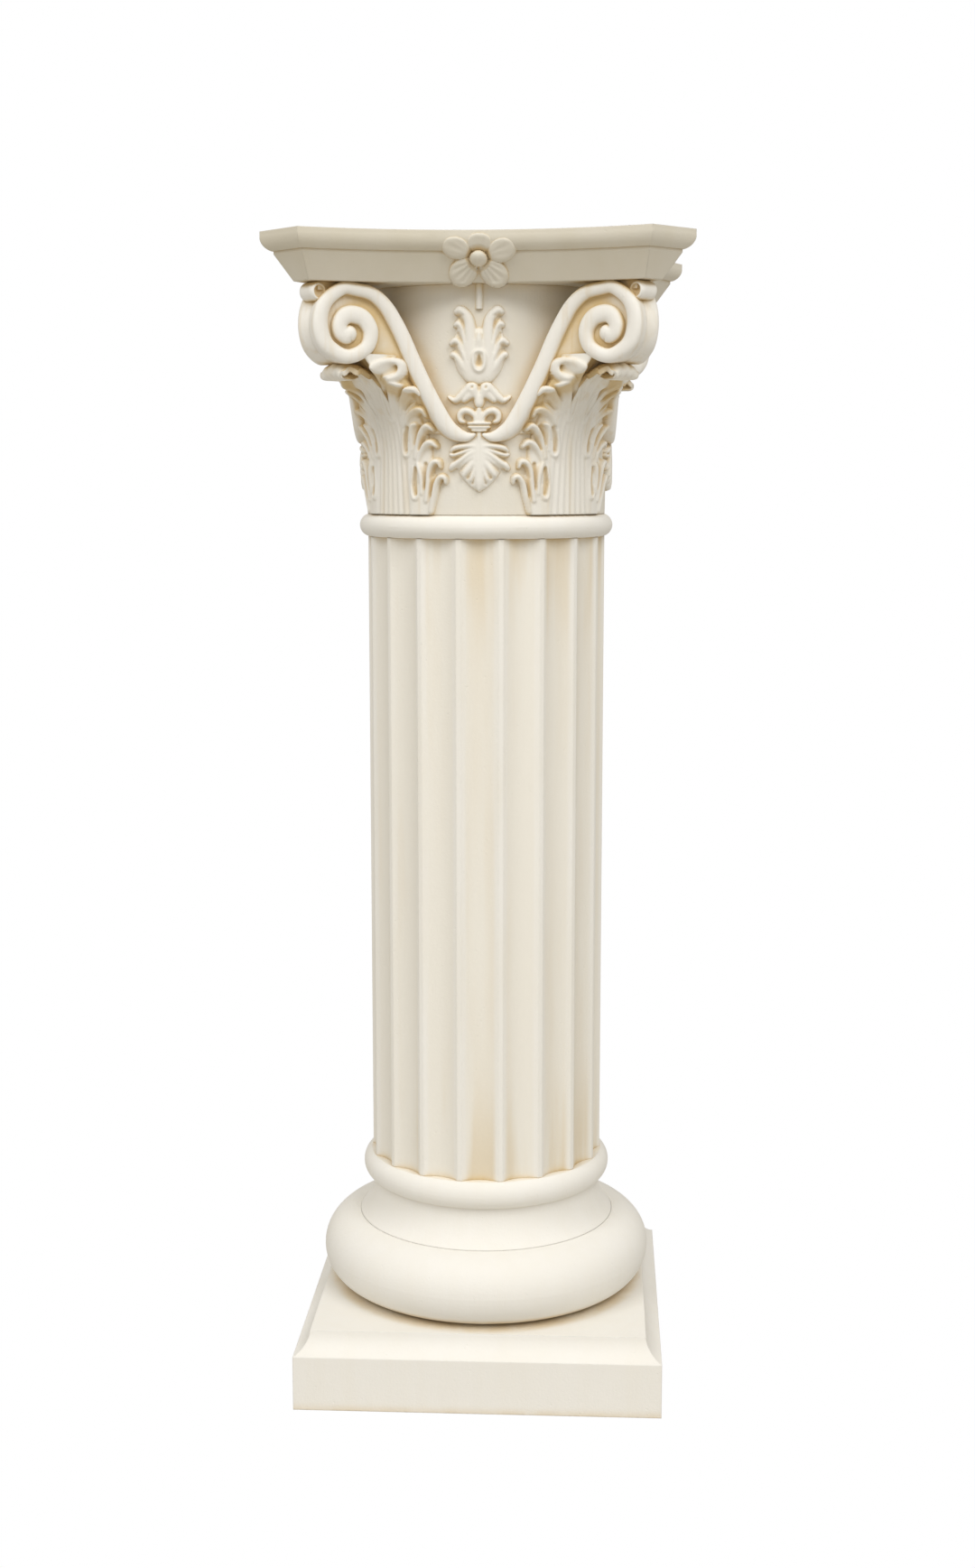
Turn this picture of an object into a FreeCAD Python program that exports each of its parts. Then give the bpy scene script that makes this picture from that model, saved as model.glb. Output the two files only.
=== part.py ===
import FreeCAD, Part
import math
import os
import re
import Sketcher
from FreeCAD import Placement, Rotation, Vector

# A free-standing pedestal column, cast in pieces: a square plinth, an Attic base of a torus and a
# scotia ring, a hollow fluted shaft, an astragal, and a capital. The capital is a plain bell under a
# hollow-sided abacus, dressed with castings that sit on it: a scrolled volute and an acanthus leaf at
# each corner, and a rosette over a hanging spray of stalk, fleuron, husk, knot and drop leaf on each
# side. Millimetres, +Z up, origin at the middle of the underside, front towards -Y.

SIZES = {
    # plinth
    "plinth_width": 320.0,
    "plinth_edge_height": 48.0,
    "plinth_height": 67.0,
    "plinth_top_width": 293.0,
    "plinth_wall": 26.0,
    "plinth_recess_depth": 38.0,
    # Attic base
    "torus_tube_radius": 32.0,
    "torus_ring_radius": 118.0,
    "scotia_foot_radius": 117.0,
    "scotia_neck_radius": 104.0,
    "scotia_height": 34.0,
    "scotia_curve_radius": 38.0,
    "collar_height": 25.0,
    "collar_radius": 113.0,
    # hollow core and the spigots that locate one casting in the next
    "core_radius": 86.0,
    "spigot_height": 10.0,
    "spigot_wall": 8.0,
    "joint_clearance": 0.5,
    # shaft
    "shaft_radius": 105.0,
    "shaft_length": 562.0,
    "flute_count": 18.0,
    "flute_depth": 6.0,
    "arris_width": 4.0,
    # astragal
    "astragal_height": 20.0,
    "astragal_radius": 112.0,
    # bell
    "bell_height": 189.0,
    "bell_foot_radius": 105.0,
    "bell_lip_radius": 108.0,
    # abacus
    "abacus_height": 39.0,
    "abacus_width": 352.0,
    "abacus_corner_cut": 36.0,
    "abacus_hollow": 33.0,
    "abacus_lip": 2.5,
    "ovolo_height": 13.0,
    "ovolo_inset": 7.5,
    "ovolo_curve_radius": 12.0,
    "fillet_height": 2.5,
    "fillet_inset": 9.0,
    "fascia_inset": 22.0,
    "abacus_boss_height": 8.0,
    # volutes and their stems
    "volute_face_radius": 257.0,
    "volute_relief": 5.0,
    "volute_eye_offset": 104.0,
    "volute_first_radius": 36.0,
    "volute_shrink": 0.79,
    "volute_band_width": 12.0,
    "volute_band_shrink": 0.72,
    "volute_groove_depth": 6.0,
    "stem_top_radius": 32.5,
    "stem_top_shift": 3.5,
    "stem_turn_radius": 22.0,
    "stem_turn_reach": 96.0,
    "stem_turn_drop": 62.0,
    "stem_end_reach": 5.0,
    "web_foot_share": 0.42,
    # acanthus leaves
    "leaf_thickness": 6.0,
    "leaf_half_width": 50.0,
    "leaf_neck_half_width": 33.0,
    "leaf_lobes": 5.0,
    "leaf_lobe_depth": 7.0,
    "leaf_curl_reach": 172.0,
    "leaf_curl_half_width": 25.0,
    "leaf_curl_thickness": 7.0,
    # curls under the corners of the abacus
    "curl_inset": 25.5,
    "curl_width": 20.0,
    "curl_height": 18.0,
    "curl_socket_radius": 5.5,
    # rosettes
    "rosette_spread": 20.5,
    "rosette_rise": 12.2,
    "rosette_drop": 1.0,
    "petal_half_width": 11.5,
    "petal_half_height": 8.0,
    "rosette_relief": 7.0,
    "rosette_ball_radius": 7.2,
    # hanging sprays on the bell
    "spray_relief": 6.0,
    "stalk_radius": 3.3,
    "stalk_length": 20.0,
    "fleuron_width": 46.0,
    "fleuron_height": 57.0,
    "husk_width": 42.0,
    "husk_height": 21.0,
    "curl_pair_spread": 11.6,
    "curl_pair_radius": 6.5,
    "knot_height": 20.0,
    "binding_width": 17.0,
    "binding_height": 5.0,
    "drop_leaf_width": 48.0,
    "drop_leaf_length": 44.0,
    "drop_neck_half_width": 2.5,
}

SIDES = ["front", "right", "back", "left"]
CORNERS = ["front_left", "front_right", "back_right", "back_left"]
QUARTER_TURN = 90.0
EIGHTH_TURN = 45.0
FULL_TURN = 360.0
OVERSHOOT = 20.0

doc = FreeCAD.newDocument("PedestalColumn")
sheet = doc.addObject("Spreadsheet::Sheet", "Sizes")
for row, (alias, number) in enumerate(SIZES.items(), start=1):
    sheet.set(f"A{row}", alias)
    sheet.set(f"B{row}", str(number))
    sheet.setAlias(f"B{row}", alias)
doc.recompute()

nodes = []


def formula(text):
    """An expression in which each size is looked up in the sheet."""
    return re.sub(r"[a-z]+(?:_[a-z]+)+", lambda word: f"Sizes.{word.group(0)}", text)


def value(text):
    """The number that an expression gives now."""
    return float(sheet.evalExpression(re.sub(r"Sizes\.", "", text)))


# Levels of the joints, from the floor up.
torus_seat = "plinth_height"
scotia_seat = f"({torus_seat} + 2 * torus_tube_radius)"
shaft_seat = f"({scotia_seat} + scotia_height + collar_height)"
astragal_seat = f"({shaft_seat} + shaft_length)"
bell_seat = f"({astragal_seat} + astragal_height)"
abacus_seat = f"({bell_seat} + bell_height)"


def new_body(label, seat="0"):
    """A body whose foot stands at a level of the column."""
    body = doc.addObject("PartDesign::Body", label)
    body.Label = label
    body.setExpression("Placement.Base.z", formula(seat))
    nodes.append(body)
    return body


def origin_feature(body, role):
    return next(item for item in body.Origin.OriginFeatures if item.Role == role)


def new_sketch(body, name, role, turn=0.0):
    """A sketch on one of the body's origin planes, turned about the plane's own upright."""
    sketch = body.newObject("Sketcher::SketchObject", name)
    sketch.AttachmentSupport = [(origin_feature(body, role), "")]
    sketch.MapMode = "FlatFace"
    sketch.AttachmentOffset = Placement(Vector(), Rotation(Vector(0, 1, 0), turn))
    return sketch


def arc_between(start, end, radius, side):
    """The short arc from start to end; side is 1 where it bows to the left of the way it runs."""
    chord = end - start
    middle = (start + end) * 0.5
    left = Vector(-chord.y, chord.x, 0).normalize()
    reach = math.sqrt(max(radius**2 - (chord.Length / 2) ** 2, 0.0))
    centre = middle - left * (reach * side)
    bow = centre + left * (radius * side)
    return Part.Arc(start, bow, end)


def draw(sketch, corners, arcs=None):
    """A closed outline whose corners are pinned to sizes; arcs maps an edge to (radius, side)."""
    arcs = arcs or {}
    points = [Vector(value(x), value(y), 0) for x, y in corners]
    count = len(points)
    for i in range(count):
        start, end = points[i], points[(i + 1) % count]
        if i in arcs:
            radius, side = arcs[i]
            sketch.addGeometry(arc_between(start, end, value(radius), side), False)
        else:
            sketch.addGeometry(Part.LineSegment(start, end), False)
    # An arc's ends are stored anticlockwise, so each end is found by where it lies.
    ends = []
    for i in range(count):
        first = sketch.getPoint(i, 1)
        ends.append((1, 2) if first.distanceToPoint(points[i]) < 1e-6 else (2, 1))
    for i in range(count):
        after = (i + 1) % count
        link = Sketcher.Constraint("Coincident", i, ends[i][1], after, ends[after][0])
        sketch.addConstraint(link)
        for kind, text, number in (
            ("DistanceX", corners[i][0], points[i].x),
            ("DistanceY", corners[i][1], points[i].y),
        ):
            pin = Sketcher.Constraint(kind, -1, 1, i, ends[i][0], number)
            index = sketch.addConstraint(pin)
            sketch.setExpression(f"Constraints[{index}]", formula(text))
    for i, (radius, _) in arcs.items():
        index = sketch.addConstraint(Sketcher.Constraint("Radius", i, value(radius)))
        sketch.setExpression(f"Constraints[{index}]", formula(radius))
    return sketch


def turned(body, corners, arcs=None):
    """A ring turned about the column's axis from a half section of radius and height."""
    section = draw(new_sketch(body, f"{body.Label}_section", "XZ_Plane"), corners, arcs)
    ring = body.newObject("PartDesign::Revolution", f"{body.Label}_ring")
    ring.Profile = section
    ring.ReferenceAxis = (section, ["V_Axis"])
    ring.Angle = FULL_TURN
    doc.recompute()
    return ring


def square(sketch, half):
    near, far = f"-({half})", half
    return draw(sketch, [(near, near), (far, near), (far, far), (near, far)])


def around(body, features, count, name):
    """Repeats features about the column's axis."""
    pattern = body.newObject("PartDesign::PolarPattern", name)
    pattern.Originals = features
    pattern.Axis = (origin_feature(body, "Z_Axis"), [""])
    pattern.Angle = FULL_TURN
    pattern.setExpression("Occurrences", formula(count))
    body.Tip = pattern
    doc.recompute()
    return pattern


def cut_checked(body, before):
    """A cut that points away from the solid takes nothing, so its volume is compared."""
    doc.recompute()
    if body.Shape.Volume >= before - 1.0:
        raise RuntimeError(f"{body.Label}: a cut removed nothing")


# ---- plinth: a square slab with a cavetto round its top, hollow below, with a locating socket above
plinth = new_body("plinth")
pad = plinth.newObject("PartDesign::Pad", "plinth_slab")
pad.Profile = square(new_sketch(plinth, "plinth_square", "XY_Plane"), "plinth_width / 2")
pad.setExpression("Length", formula("plinth_height"))
doc.recompute()

volume = plinth.Shape.Volume
cavetto = plinth.newObject("PartDesign::Pocket", "plinth_cavetto")
cavetto.Profile = draw(
    new_sketch(plinth, "cavetto_section", "XZ_Plane"),
    [
        ("plinth_width / 2", "plinth_edge_height"),
        ("plinth_width / 2 + 5", "plinth_edge_height"),
        ("plinth_width / 2 + 5", "plinth_height + 5"),
        ("plinth_top_width / 2", "plinth_height + 5"),
        ("plinth_top_width / 2", "plinth_height"),
    ],
    {4: ("plinth_height - plinth_edge_height + 3", -1)},
)
cavetto.Type = 1
cavetto.Midplane = True
cut_checked(plinth, volume)
around(plinth, [cavetto], "4", "plinth_cavettos")

volume = plinth.Shape.Volume
recess = plinth.newObject("PartDesign::Pocket", "plinth_recess")
recess.Profile = square(new_sketch(plinth, "recess_square", "XY_Plane"), "plinth_width / 2 - plinth_wall")
recess.setExpression("Length", formula("plinth_recess_depth"))
recess.Reversed = True
cut_checked(plinth, volume)

volume = plinth.Shape.Volume
socket = plinth.newObject("PartDesign::Groove", "plinth_socket")
socket.Profile = draw(
    new_sketch(plinth, "socket_section", "XZ_Plane"),
    [
        ("core_radius - spigot_wall - 2 * joint_clearance", "plinth_height - spigot_height - 1"),
        ("core_radius", "plinth_height - spigot_height - 1"),
        ("core_radius", "plinth_height + 1"),
        ("core_radius - spigot_wall - 2 * joint_clearance", "plinth_height + 1"),
    ],
)
socket.ReferenceAxis = (origin_feature(plinth, "Z_Axis"), [""])
socket.Angle = FULL_TURN
cut_checked(plinth, volume)


# ---- Attic base: a half-round torus, then a scotia that rises to the collar the shaft stands on
spigot_in = "core_radius - spigot_wall"
spigot_out = "core_radius - joint_clearance"

lower_torus = new_body("lower_torus", torus_seat)
turned(
    lower_torus,
    [
        (spigot_in, "-spigot_height"),
        (spigot_out, "-spigot_height"),
        (spigot_out, "0"),
        ("torus_ring_radius", "0"),
        ("torus_ring_radius + torus_tube_radius", "torus_tube_radius"),
        ("torus_ring_radius", "2 * torus_tube_radius"),
        ("core_radius", "2 * torus_tube_radius"),
        ("core_radius", "2 * torus_tube_radius - spigot_height - 2"),
        (spigot_in, "2 * torus_tube_radius - spigot_height - 2"),
    ],
    {3: ("torus_tube_radius", -1), 4: ("torus_tube_radius", -1)},
)

scotia_ring = new_body("scotia_ring", scotia_seat)
collar_top = "scotia_height + collar_height"
turned(
    scotia_ring,
    [
        (spigot_in, "-spigot_height"),
        (spigot_out, "-spigot_height"),
        (spigot_out, "0"),
        ("scotia_foot_radius", "0"),
        ("scotia_neck_radius", "scotia_height"),
        ("collar_radius", "scotia_height + collar_height / 2"),
        ("shaft_radius + 1", collar_top),
        ("core_radius", collar_top),
        ("core_radius", f"{collar_top} - spigot_height - 2"),
        (spigot_in, f"{collar_top} - spigot_height - 2"),
    ],
    {
        3: ("scotia_curve_radius", 1),
        4: ("collar_height / 2 + 1", -1),
        5: ("collar_height / 2 + 1", -1),
    },
)


# ---- shaft: a tube with shallow flutes that meet at narrow arrises
shaft = new_body("shaft", shaft_seat)
turned(
    shaft,
    [
        (spigot_in, "-spigot_height"),
        (spigot_out, "-spigot_height"),
        (spigot_out, "0"),
        ("shaft_radius", "0"),
        ("shaft_radius", "shaft_length"),
        ("core_radius", "shaft_length"),
        ("core_radius", "shaft_length - astragal_height - spigot_height"),
        (spigot_in, "shaft_length - astragal_height - spigot_height - spigot_wall"),
    ],
)
volume = shaft.Shape.Volume
half_angle = "(180 / flute_count - asin(arris_width / 2 / shaft_radius) / 1 deg)"
flute_half = f"shaft_radius * sin({half_angle})"
flute_edge = f"shaft_radius * cos({half_angle})"
flute_bow = f"({flute_edge} - shaft_radius + flute_depth)"
flute_radius = f"(({flute_half})^2 + {flute_bow}^2) / (2 * {flute_bow})"
flute = shaft.newObject("PartDesign::Pocket", "flute")
flute.Profile = draw(
    new_sketch(shaft, "flute_section", "XY_Plane"),
    [
        (f"-{flute_half}", f"-{flute_edge}"),
        (f"-{flute_half}", "-shaft_radius - 5"),
        (flute_half, "-shaft_radius - 5"),
        (flute_half, f"-{flute_edge}"),
    ],
    {3: (flute_radius, -1)},
)
flute.setExpression("Length", formula("shaft_length"))
flute.Reversed = True
cut_checked(shaft, volume)
around(shaft, [flute], "flute_count", "flutes")


# ---- astragal: the half-round bead between shaft and capital
astragal = new_body("astragal", astragal_seat)
bead_neck = "astragal_radius - astragal_height / 2"
turned(
    astragal,
    [
        ("core_radius", "0"),
        (bead_neck, "0"),
        ("astragal_radius", "astragal_height / 2"),
        (bead_neck, "astragal_height"),
        ("core_radius", "astragal_height"),
    ],
    {1: ("astragal_height / 2", -1), 2: ("astragal_height / 2", -1)},
)


# ---- bell: a hollow drum that widens a little upwards, with a long spigot through the astragal
bell = new_body("bell", bell_seat)
spigot_foot = "-astragal_height - spigot_height"
turned(
    bell,
    [
        (spigot_in, spigot_foot),
        (spigot_out, spigot_foot),
        (spigot_out, "0"),
        ("bell_foot_radius", "0"),
        ("bell_lip_radius", "bell_height"),
        (spigot_in, "bell_height"),
    ],
)


# ---- abacus: a square slab, its sides hollowed on plan and its corners cut, with one moulding
# (lip, ovolo, fillet and sloping fascia) worked round all eight faces
def moulding(edge, outside, sign):
    """The section to cut away, from the top edge down; sign turns it to face the other way."""

    def at(inset, drop):
        return (f"{sign} * ({edge} - {inset})", f"abacus_height - ({drop})")

    ovolo_foot = "abacus_lip + ovolo_height"
    fillet_foot = f"{ovolo_foot} + fillet_height"
    return [
        (f"{sign} * ({edge} - 0)", "abacus_height + 1"),
        at("0", "abacus_lip"),
        at("ovolo_inset", ovolo_foot),
        at("fillet_inset", ovolo_foot),
        at("fillet_inset", fillet_foot),
        at("fascia_inset", "abacus_height"),
        (f"{sign} * ({edge} - fascia_inset)", "-1"),
        (f"{sign} * ({outside})", "-1"),
        (f"{sign} * ({outside})", "abacus_height + 1"),
    ]


abacus = new_body("abacus", abacus_seat)
pad = abacus.newObject("PartDesign::Pad", "abacus_slab")
pad.Profile = square(new_sketch(abacus, "abacus_square", "XY_Plane"), "abacus_width / 2")
pad.setExpression("Length", formula("abacus_height"))
doc.recompute()

volume = abacus.Shape.Volume
half_chord = "(abacus_width / 2 - abacus_corner_cut)"
hollow_radius = f"(({half_chord})^2 + abacus_hollow^2) / (2 * abacus_hollow)"
side_middle = "(abacus_width / 2 - abacus_hollow)"
side_sketch = new_sketch(abacus, "side_section", "YZ_Plane")
draw(side_sketch, moulding(side_middle, "abacus_width / 2 + 5", -1), {1: ("ovolo_curve_radius", -1)})
axis_place = f"-({side_middle} + {hollow_radius})"
axis_line = Part.LineSegment(Vector(value(axis_place), -1, 0), Vector(value(axis_place), 1, 0))
axis_index = side_sketch.addGeometry(axis_line, True)
side_sketch.addConstraint(Sketcher.Constraint("Vertical", axis_index))
pin = Sketcher.Constraint("DistanceX", -1, 1, axis_index, 1, value(axis_place))
side_sketch.setExpression(f"Constraints[{side_sketch.addConstraint(pin)}]", formula(axis_place))
side_groove = abacus.newObject("PartDesign::Groove", "abacus_side")
side_groove.Profile = side_sketch
side_groove.ReferenceAxis = (side_sketch, ["Axis0"])
side_groove.Angle = FULL_TURN
cut_checked(abacus, volume)

volume = abacus.Shape.Volume
corner_edge = "((abacus_width - abacus_corner_cut) / sqrt(2))"
corner_pocket = abacus.newObject("PartDesign::Pocket", "abacus_corner")
corner_pocket.Profile = draw(
    new_sketch(abacus, "corner_section", "XZ_Plane", EIGHTH_TURN),
    moulding(corner_edge, "abacus_width / sqrt(2) + 5", 1),
    {1: ("ovolo_curve_radius", 1)},
)
corner_pocket.Type = 1
corner_pocket.Midplane = True
cut_checked(abacus, volume)
around(abacus, [side_groove, corner_pocket], "4", "abacus_sides")

boss = abacus.newObject("PartDesign::Revolution", "abacus_boss")
boss.Profile = draw(
    new_sketch(abacus, "boss_section", "XZ_Plane"),
    [
        (f"{spigot_in} - spigot_wall", "-abacus_boss_height"),
        (f"{spigot_in} - joint_clearance", "-abacus_boss_height"),
        (f"{spigot_in} - joint_clearance", "1"),
        (f"{spigot_in} - spigot_wall", "1"),
    ],
)
boss.ReferenceAxis = (origin_feature(abacus, "Z_Axis"), [""])
boss.Angle = FULL_TURN
abacus.Tip = boss
doc.recompute()


# ---- castings that sit on the bell and the abacus
s = {alias: getattr(sheet, alias) for alias in SIZES}
bell_z = value(bell_seat)
abacus_z = value(abacus_seat)

bell_ground = doc.addObject("Part::Cone", "bell_ground")
bell_ground.setExpression("Radius1", formula("bell_foot_radius"))
bell_ground.setExpression("Radius2", formula("bell_lip_radius"))
bell_ground.setExpression("Height", formula("bell_height"))
bell_ground.setExpression("Placement.Base.z", formula(bell_seat))


def casting(label, shape, grounds):
    """A raised casting whose back is cut to the faces that it sits on, so that they meet."""
    blank = doc.addObject("Part::Feature", f"{label}_blank")
    blank.Shape = shape
    for index, ground in enumerate(grounds):
        cut = doc.addObject("Part::Cut", f"{label}_on_{index}")
        cut.Base = blank
        cut.Tool = ground
        blank = cut
    doc.recompute()
    # A cut can leave offcuts beyond what it cuts round: the casting is the largest piece.
    seated = doc.addObject("Part::Feature", f"{label}_seated")
    seated.Shape = max(blank.Shape.Solids, key=lambda solid: solid.Volume)
    return seated


def place_round(master, stem, places, first=0.0):
    """The same casting on each side or at each corner, turned about the column's axis."""
    for index, place in enumerate(places):
        copy = doc.addObject("Part::Feature", f"{stem}_{place}")
        copy.Label = f"{stem}_{place}"
        copy.Shape = master.Shape.copy()
        turn = Rotation(Vector(0, 0, 1), first + QUARTER_TURN * index)
        copy.Placement = Placement(Vector(), turn).multiply(copy.Placement)
        nodes.append(copy)


def front_prism(wires, front, back):
    """A prism between two upright planes, from outlines drawn as the front is seen."""
    face = Part.Face(wires)
    face.translate(Vector(0, front, 0))
    return face.extrude(Vector(0, back - front, 0))


def front_point(x, z):
    return Vector(x, 0, z)


def scalloped(valleys, tips):
    """A closed outline of lobes, each an arc from one valley over its tip to the next valley."""
    edges = []
    for index, tip in enumerate(tips):
        start = valleys[index]
        end = valleys[(index + 1) % len(valleys)]
        edges.append(Part.Arc(start, tip, end).toShape())
    return Part.Wire(edges)


def mirrored(points):
    """Points given down the right-hand side, joined to their mirror images."""
    return points + [Vector(-p.x, p.y, p.z) for p in reversed(points)]


# rosette: five petals round a ball, against the moulding of the abacus
rosette_z = abacus_z + s["abacus_height"] / 2 - s["rosette_drop"]
rosette_front = -(s["abacus_width"] / 2 - s["abacus_hollow"] + s["rosette_relief"])
rosette_back = rosette_front + s["rosette_relief"] + s["fascia_inset"] + OVERSHOOT / 2
half_petal = Vector(s["petal_half_width"], 0, 0)
petal_rise = Vector(0, 0, s["petal_half_height"])
petals = []
for index in range(5):
    angle = math.radians(QUARTER_TURN + FULL_TURN / 5 * index)
    across = s["rosette_spread"] * math.cos(angle)
    middle = front_point(across, rosette_z + s["rosette_rise"] * math.sin(angle))
    rims = []
    for rim in (petal_rise, -petal_rise):
        rims.append(Part.Arc(middle - half_petal, middle + rim, middle + half_petal).toShape())
    petals.append(front_prism([Part.Wire(rims)], rosette_front, rosette_back))
ball = Part.makeSphere(s["rosette_ball_radius"], Vector(0, rosette_front, rosette_z))
rosette = petals[0].fuse(petals[1:] + [ball]).removeSplitter()
place_round(casting("rosette", rosette, [abacus]), "rosette", SIDES)


# volutes: an S-shaped stem rises from under the knot, turns over and winds into a spiral on each of
# the two faces that meet at a corner; the spirals back on to each other along the diagonal
face_middle = s["bell_lip_radius"] + s["volute_relief"]
face_axis = -(face_middle + s["volute_face_radius"])
eye_turn = math.asin(s["volute_eye_offset"] / s["volute_face_radius"])
sideways = Vector(math.cos(eye_turn), math.sin(eye_turn), 0)
facing = Vector(math.sin(eye_turn), -math.cos(eye_turn), 0)
shrink = s["volute_shrink"]
first_radius = s["volute_first_radius"]
swing = (1 - shrink) / (1 + shrink**2)
spiral_top = Vector(first_radius * swing, first_radius * (1 + shrink * swing), 0)
eye_y = face_axis + s["volute_face_radius"] * math.cos(eye_turn)
eye = Vector(-s["volute_eye_offset"], eye_y, abacus_z - spiral_top.y)


def on_face(point):
    """From right-and-up about the eye to the upright plane that touches the face at the eye."""
    return eye + sideways * point.x + Vector(0, 0, point.y)


def quarter_arcs(start, radius, ratio, count):
    """A spiral of quarter circles, each smaller than the last, from its top round by the left."""
    arcs = []
    inward = Vector(0, -1, 0)
    point = start
    for _ in range(count):
        centre = point + inward * radius
        next_inward = Vector(-inward.y, inward.x, 0)
        end = centre - next_inward * radius
        middle = centre - (inward + next_inward).normalize() * radius
        arcs.append(Part.Arc(on_face(point), on_face(middle), on_face(end)).toShape())
        point = end
        inward = next_inward
        radius *= ratio
    return arcs, point


def polar(centre, radius, angle):
    return centre + Vector(radius * math.cos(angle), radius * math.sin(angle), 0)


def arc_on_face(centre, radius, start, end):
    places = (on_face(polar(centre, radius, angle)) for angle in (start, (start + end) / 2, end))
    return Part.Arc(*places).toShape()


def line_on_face(start, end):
    return Part.makeLine(on_face(start), on_face(end))


def deep(edges, front, back):
    """An outline on the eye's plane, thickened from so far in front of it to so far behind it."""
    face = Part.Face(Part.Wire(Part.__sortEdges__(edges)))
    face.translate(facing * front)
    return face.extrude(facing * -(front + back))


# The stem is two turns joined by their crossing tangent; its band runs on as the spiral's first turn.
half_band = s["volute_band_width"] / 2
top_turn = s["stem_top_radius"]
top_centre = spiral_top + Vector(s["stem_top_shift"], -top_turn - half_band, 0)
foot_centre = Vector(s["stem_turn_reach"], -s["stem_turn_drop"], 0)
foot_turn = s["stem_turn_radius"]
reach = foot_centre - top_centre
lean = math.atan2(reach.y, reach.x) + math.acos((top_turn + foot_turn) / reach.Length)
above = math.radians(QUARTER_TURN)
foot_lean = lean + math.pi
foot_end = 2 * math.pi - math.acos(s["stem_end_reach"] / foot_turn)


def stem_edge(offset):
    """One edge of the stem's band: level start, top turn, straight run and turn at the foot."""
    level = spiral_top + Vector(0, offset - half_band, 0)
    run_top = polar(top_centre, top_turn + offset, lean)
    run_foot = polar(foot_centre, foot_turn - offset, foot_lean)
    start = line_on_face(level, top_centre + Vector(0, top_turn + offset, 0))
    top_arc = arc_on_face(top_centre, top_turn + offset, above, lean)
    foot_arc = arc_on_face(foot_centre, foot_turn - offset, foot_lean, foot_end)
    return start, top_arc, run_top, run_foot, foot_arc


start, top_arc, run_top, run_foot, foot_arc = stem_edge(half_band)
outline = [start, top_arc, line_on_face(run_top, run_foot), foot_arc]
foot_corners = [polar(foot_centre, foot_turn + offset, foot_end) for offset in (half_band, -half_band)]
outline.append(line_on_face(*foot_corners))

OUTER_QUARTERS = 7
INNER_QUARTERS = 3
RIM_QUARTERS = 2
outer_arcs, hub_end = quarter_arcs(spiral_top, first_radius, shrink, OUTER_QUARTERS)
_, rim_end = quarter_arcs(spiral_top, first_radius, shrink, RIM_QUARTERS)
band_top = spiral_top - Vector(0, s["volute_band_width"], 0)
band_radius = first_radius - s["volute_band_width"]
inner_arcs, groove_end = quarter_arcs(band_top, band_radius, s["volute_band_shrink"], INNER_QUARTERS)

# A sunk web fills the angle between the spiral's foot and the stem.
start, top_arc, run_top, run_foot, foot_arc = stem_edge(-half_band)
web_foot = run_top + (run_foot - run_top) * s["web_foot_share"]
outline += [foot_arc, line_on_face(web_foot, run_foot), line_on_face(rim_end, web_foot)]
outline += outer_arcs[:RIM_QUARTERS]
curl_reach = (s["abacus_width"] - s["abacus_corner_cut"]) / math.sqrt(2) - s["curl_inset"]
scroll = deep(outline, OVERSHOOT, curl_reach - s["volute_eye_offset"])

# The groove winds in between the turns as far as the eye, and opens on to the web.
mouth = (rim_end + web_foot) * 0.5 - Vector(0, 3, 0)
groove_edges = inner_arcs + outer_arcs[RIM_QUARTERS:] + [line_on_face(groove_end, hub_end)]
groove_edges += [line_on_face(rim_end, mouth), line_on_face(mouth, web_foot)]
groove_edges += [line_on_face(web_foot, run_top), top_arc, start]
groove = deep(groove_edges, OVERSHOOT + 1, s["volute_groove_depth"])

tall = s["bell_height"]
hollow_face = Part.makeCylinder(s["volute_face_radius"], tall, Vector(0, face_axis, bell_z))

# Only what lies on the front's side of the diagonal is kept, and its mirror image is joined to it.
span = s["abacus_width"]
wedge_corners = [Vector(), Vector(-span, -span, 0), Vector(0, -span, 0), Vector()]
wedge = Part.Face(Part.makePolygon(wedge_corners)).extrude(Vector(0, 0, tall))
wedge.translate(Vector(0, 0, bell_z))
front_half = scroll.cut(hollow_face).cut(groove).common(wedge)
side_half = front_half.mirror(Vector(), Vector(1, -1, 0))
volute = front_half.fuse(side_half).removeSplitter()
volute_master = casting("volute", volute, [bell_ground])
place_round(volute_master, "volute", CORNERS)


# acanthus: a lobed blade wrapped on the bell, whose tip curls out under the volute
leaf_top = eye.z - first_radius * shrink * (1 - swing * shrink)
leaf_steps = int(s["leaf_lobes"])
rise = (leaf_top - bell_z) / (leaf_steps + 1)


def leaf_half(step):
    """Half the blade's width, from its broad foot to its neck."""
    share = step / leaf_steps
    return s["leaf_half_width"] + (s["leaf_neck_half_width"] - s["leaf_half_width"]) * share


right_side = [front_point(s["leaf_half_width"] - s["leaf_lobe_depth"], bell_z)]
lobe_edges = []
for step in range(leaf_steps):
    start = right_side[-1]
    tip = front_point(leaf_half(step), bell_z + rise * (step + 0.75))
    end = front_point(leaf_half(step + 1) - s["leaf_lobe_depth"], bell_z + rise * (step + 1))
    lobe_edges.append(Part.Arc(start, tip, end).toShape())
    right_side.append(end)
crown = Part.Arc(right_side[-1], front_point(0, leaf_top), front_point(-right_side[-1].x, right_side[-1].z))
left_edges = [edge.mirror(Vector(), Vector(1, 0, 0)) for edge in lobe_edges]
foot_line = Part.makeLine(front_point(-right_side[0].x, bell_z), right_side[0])
blade_wire = Part.Wire(Part.__sortEdges__(lobe_edges + [crown.toShape()] + left_edges + [foot_line]))
blade = front_prism([blade_wire], -s["bell_lip_radius"] - OVERSHOOT, 0)
skin = Part.makeCone(
    s["bell_foot_radius"] + s["leaf_thickness"],
    s["bell_lip_radius"] + s["leaf_thickness"],
    s["bell_height"],
    Vector(0, 0, bell_z),
)
blade = blade.common(skin)


def side_point(reach_out, z):
    return Vector(0, -reach_out, z)


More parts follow.
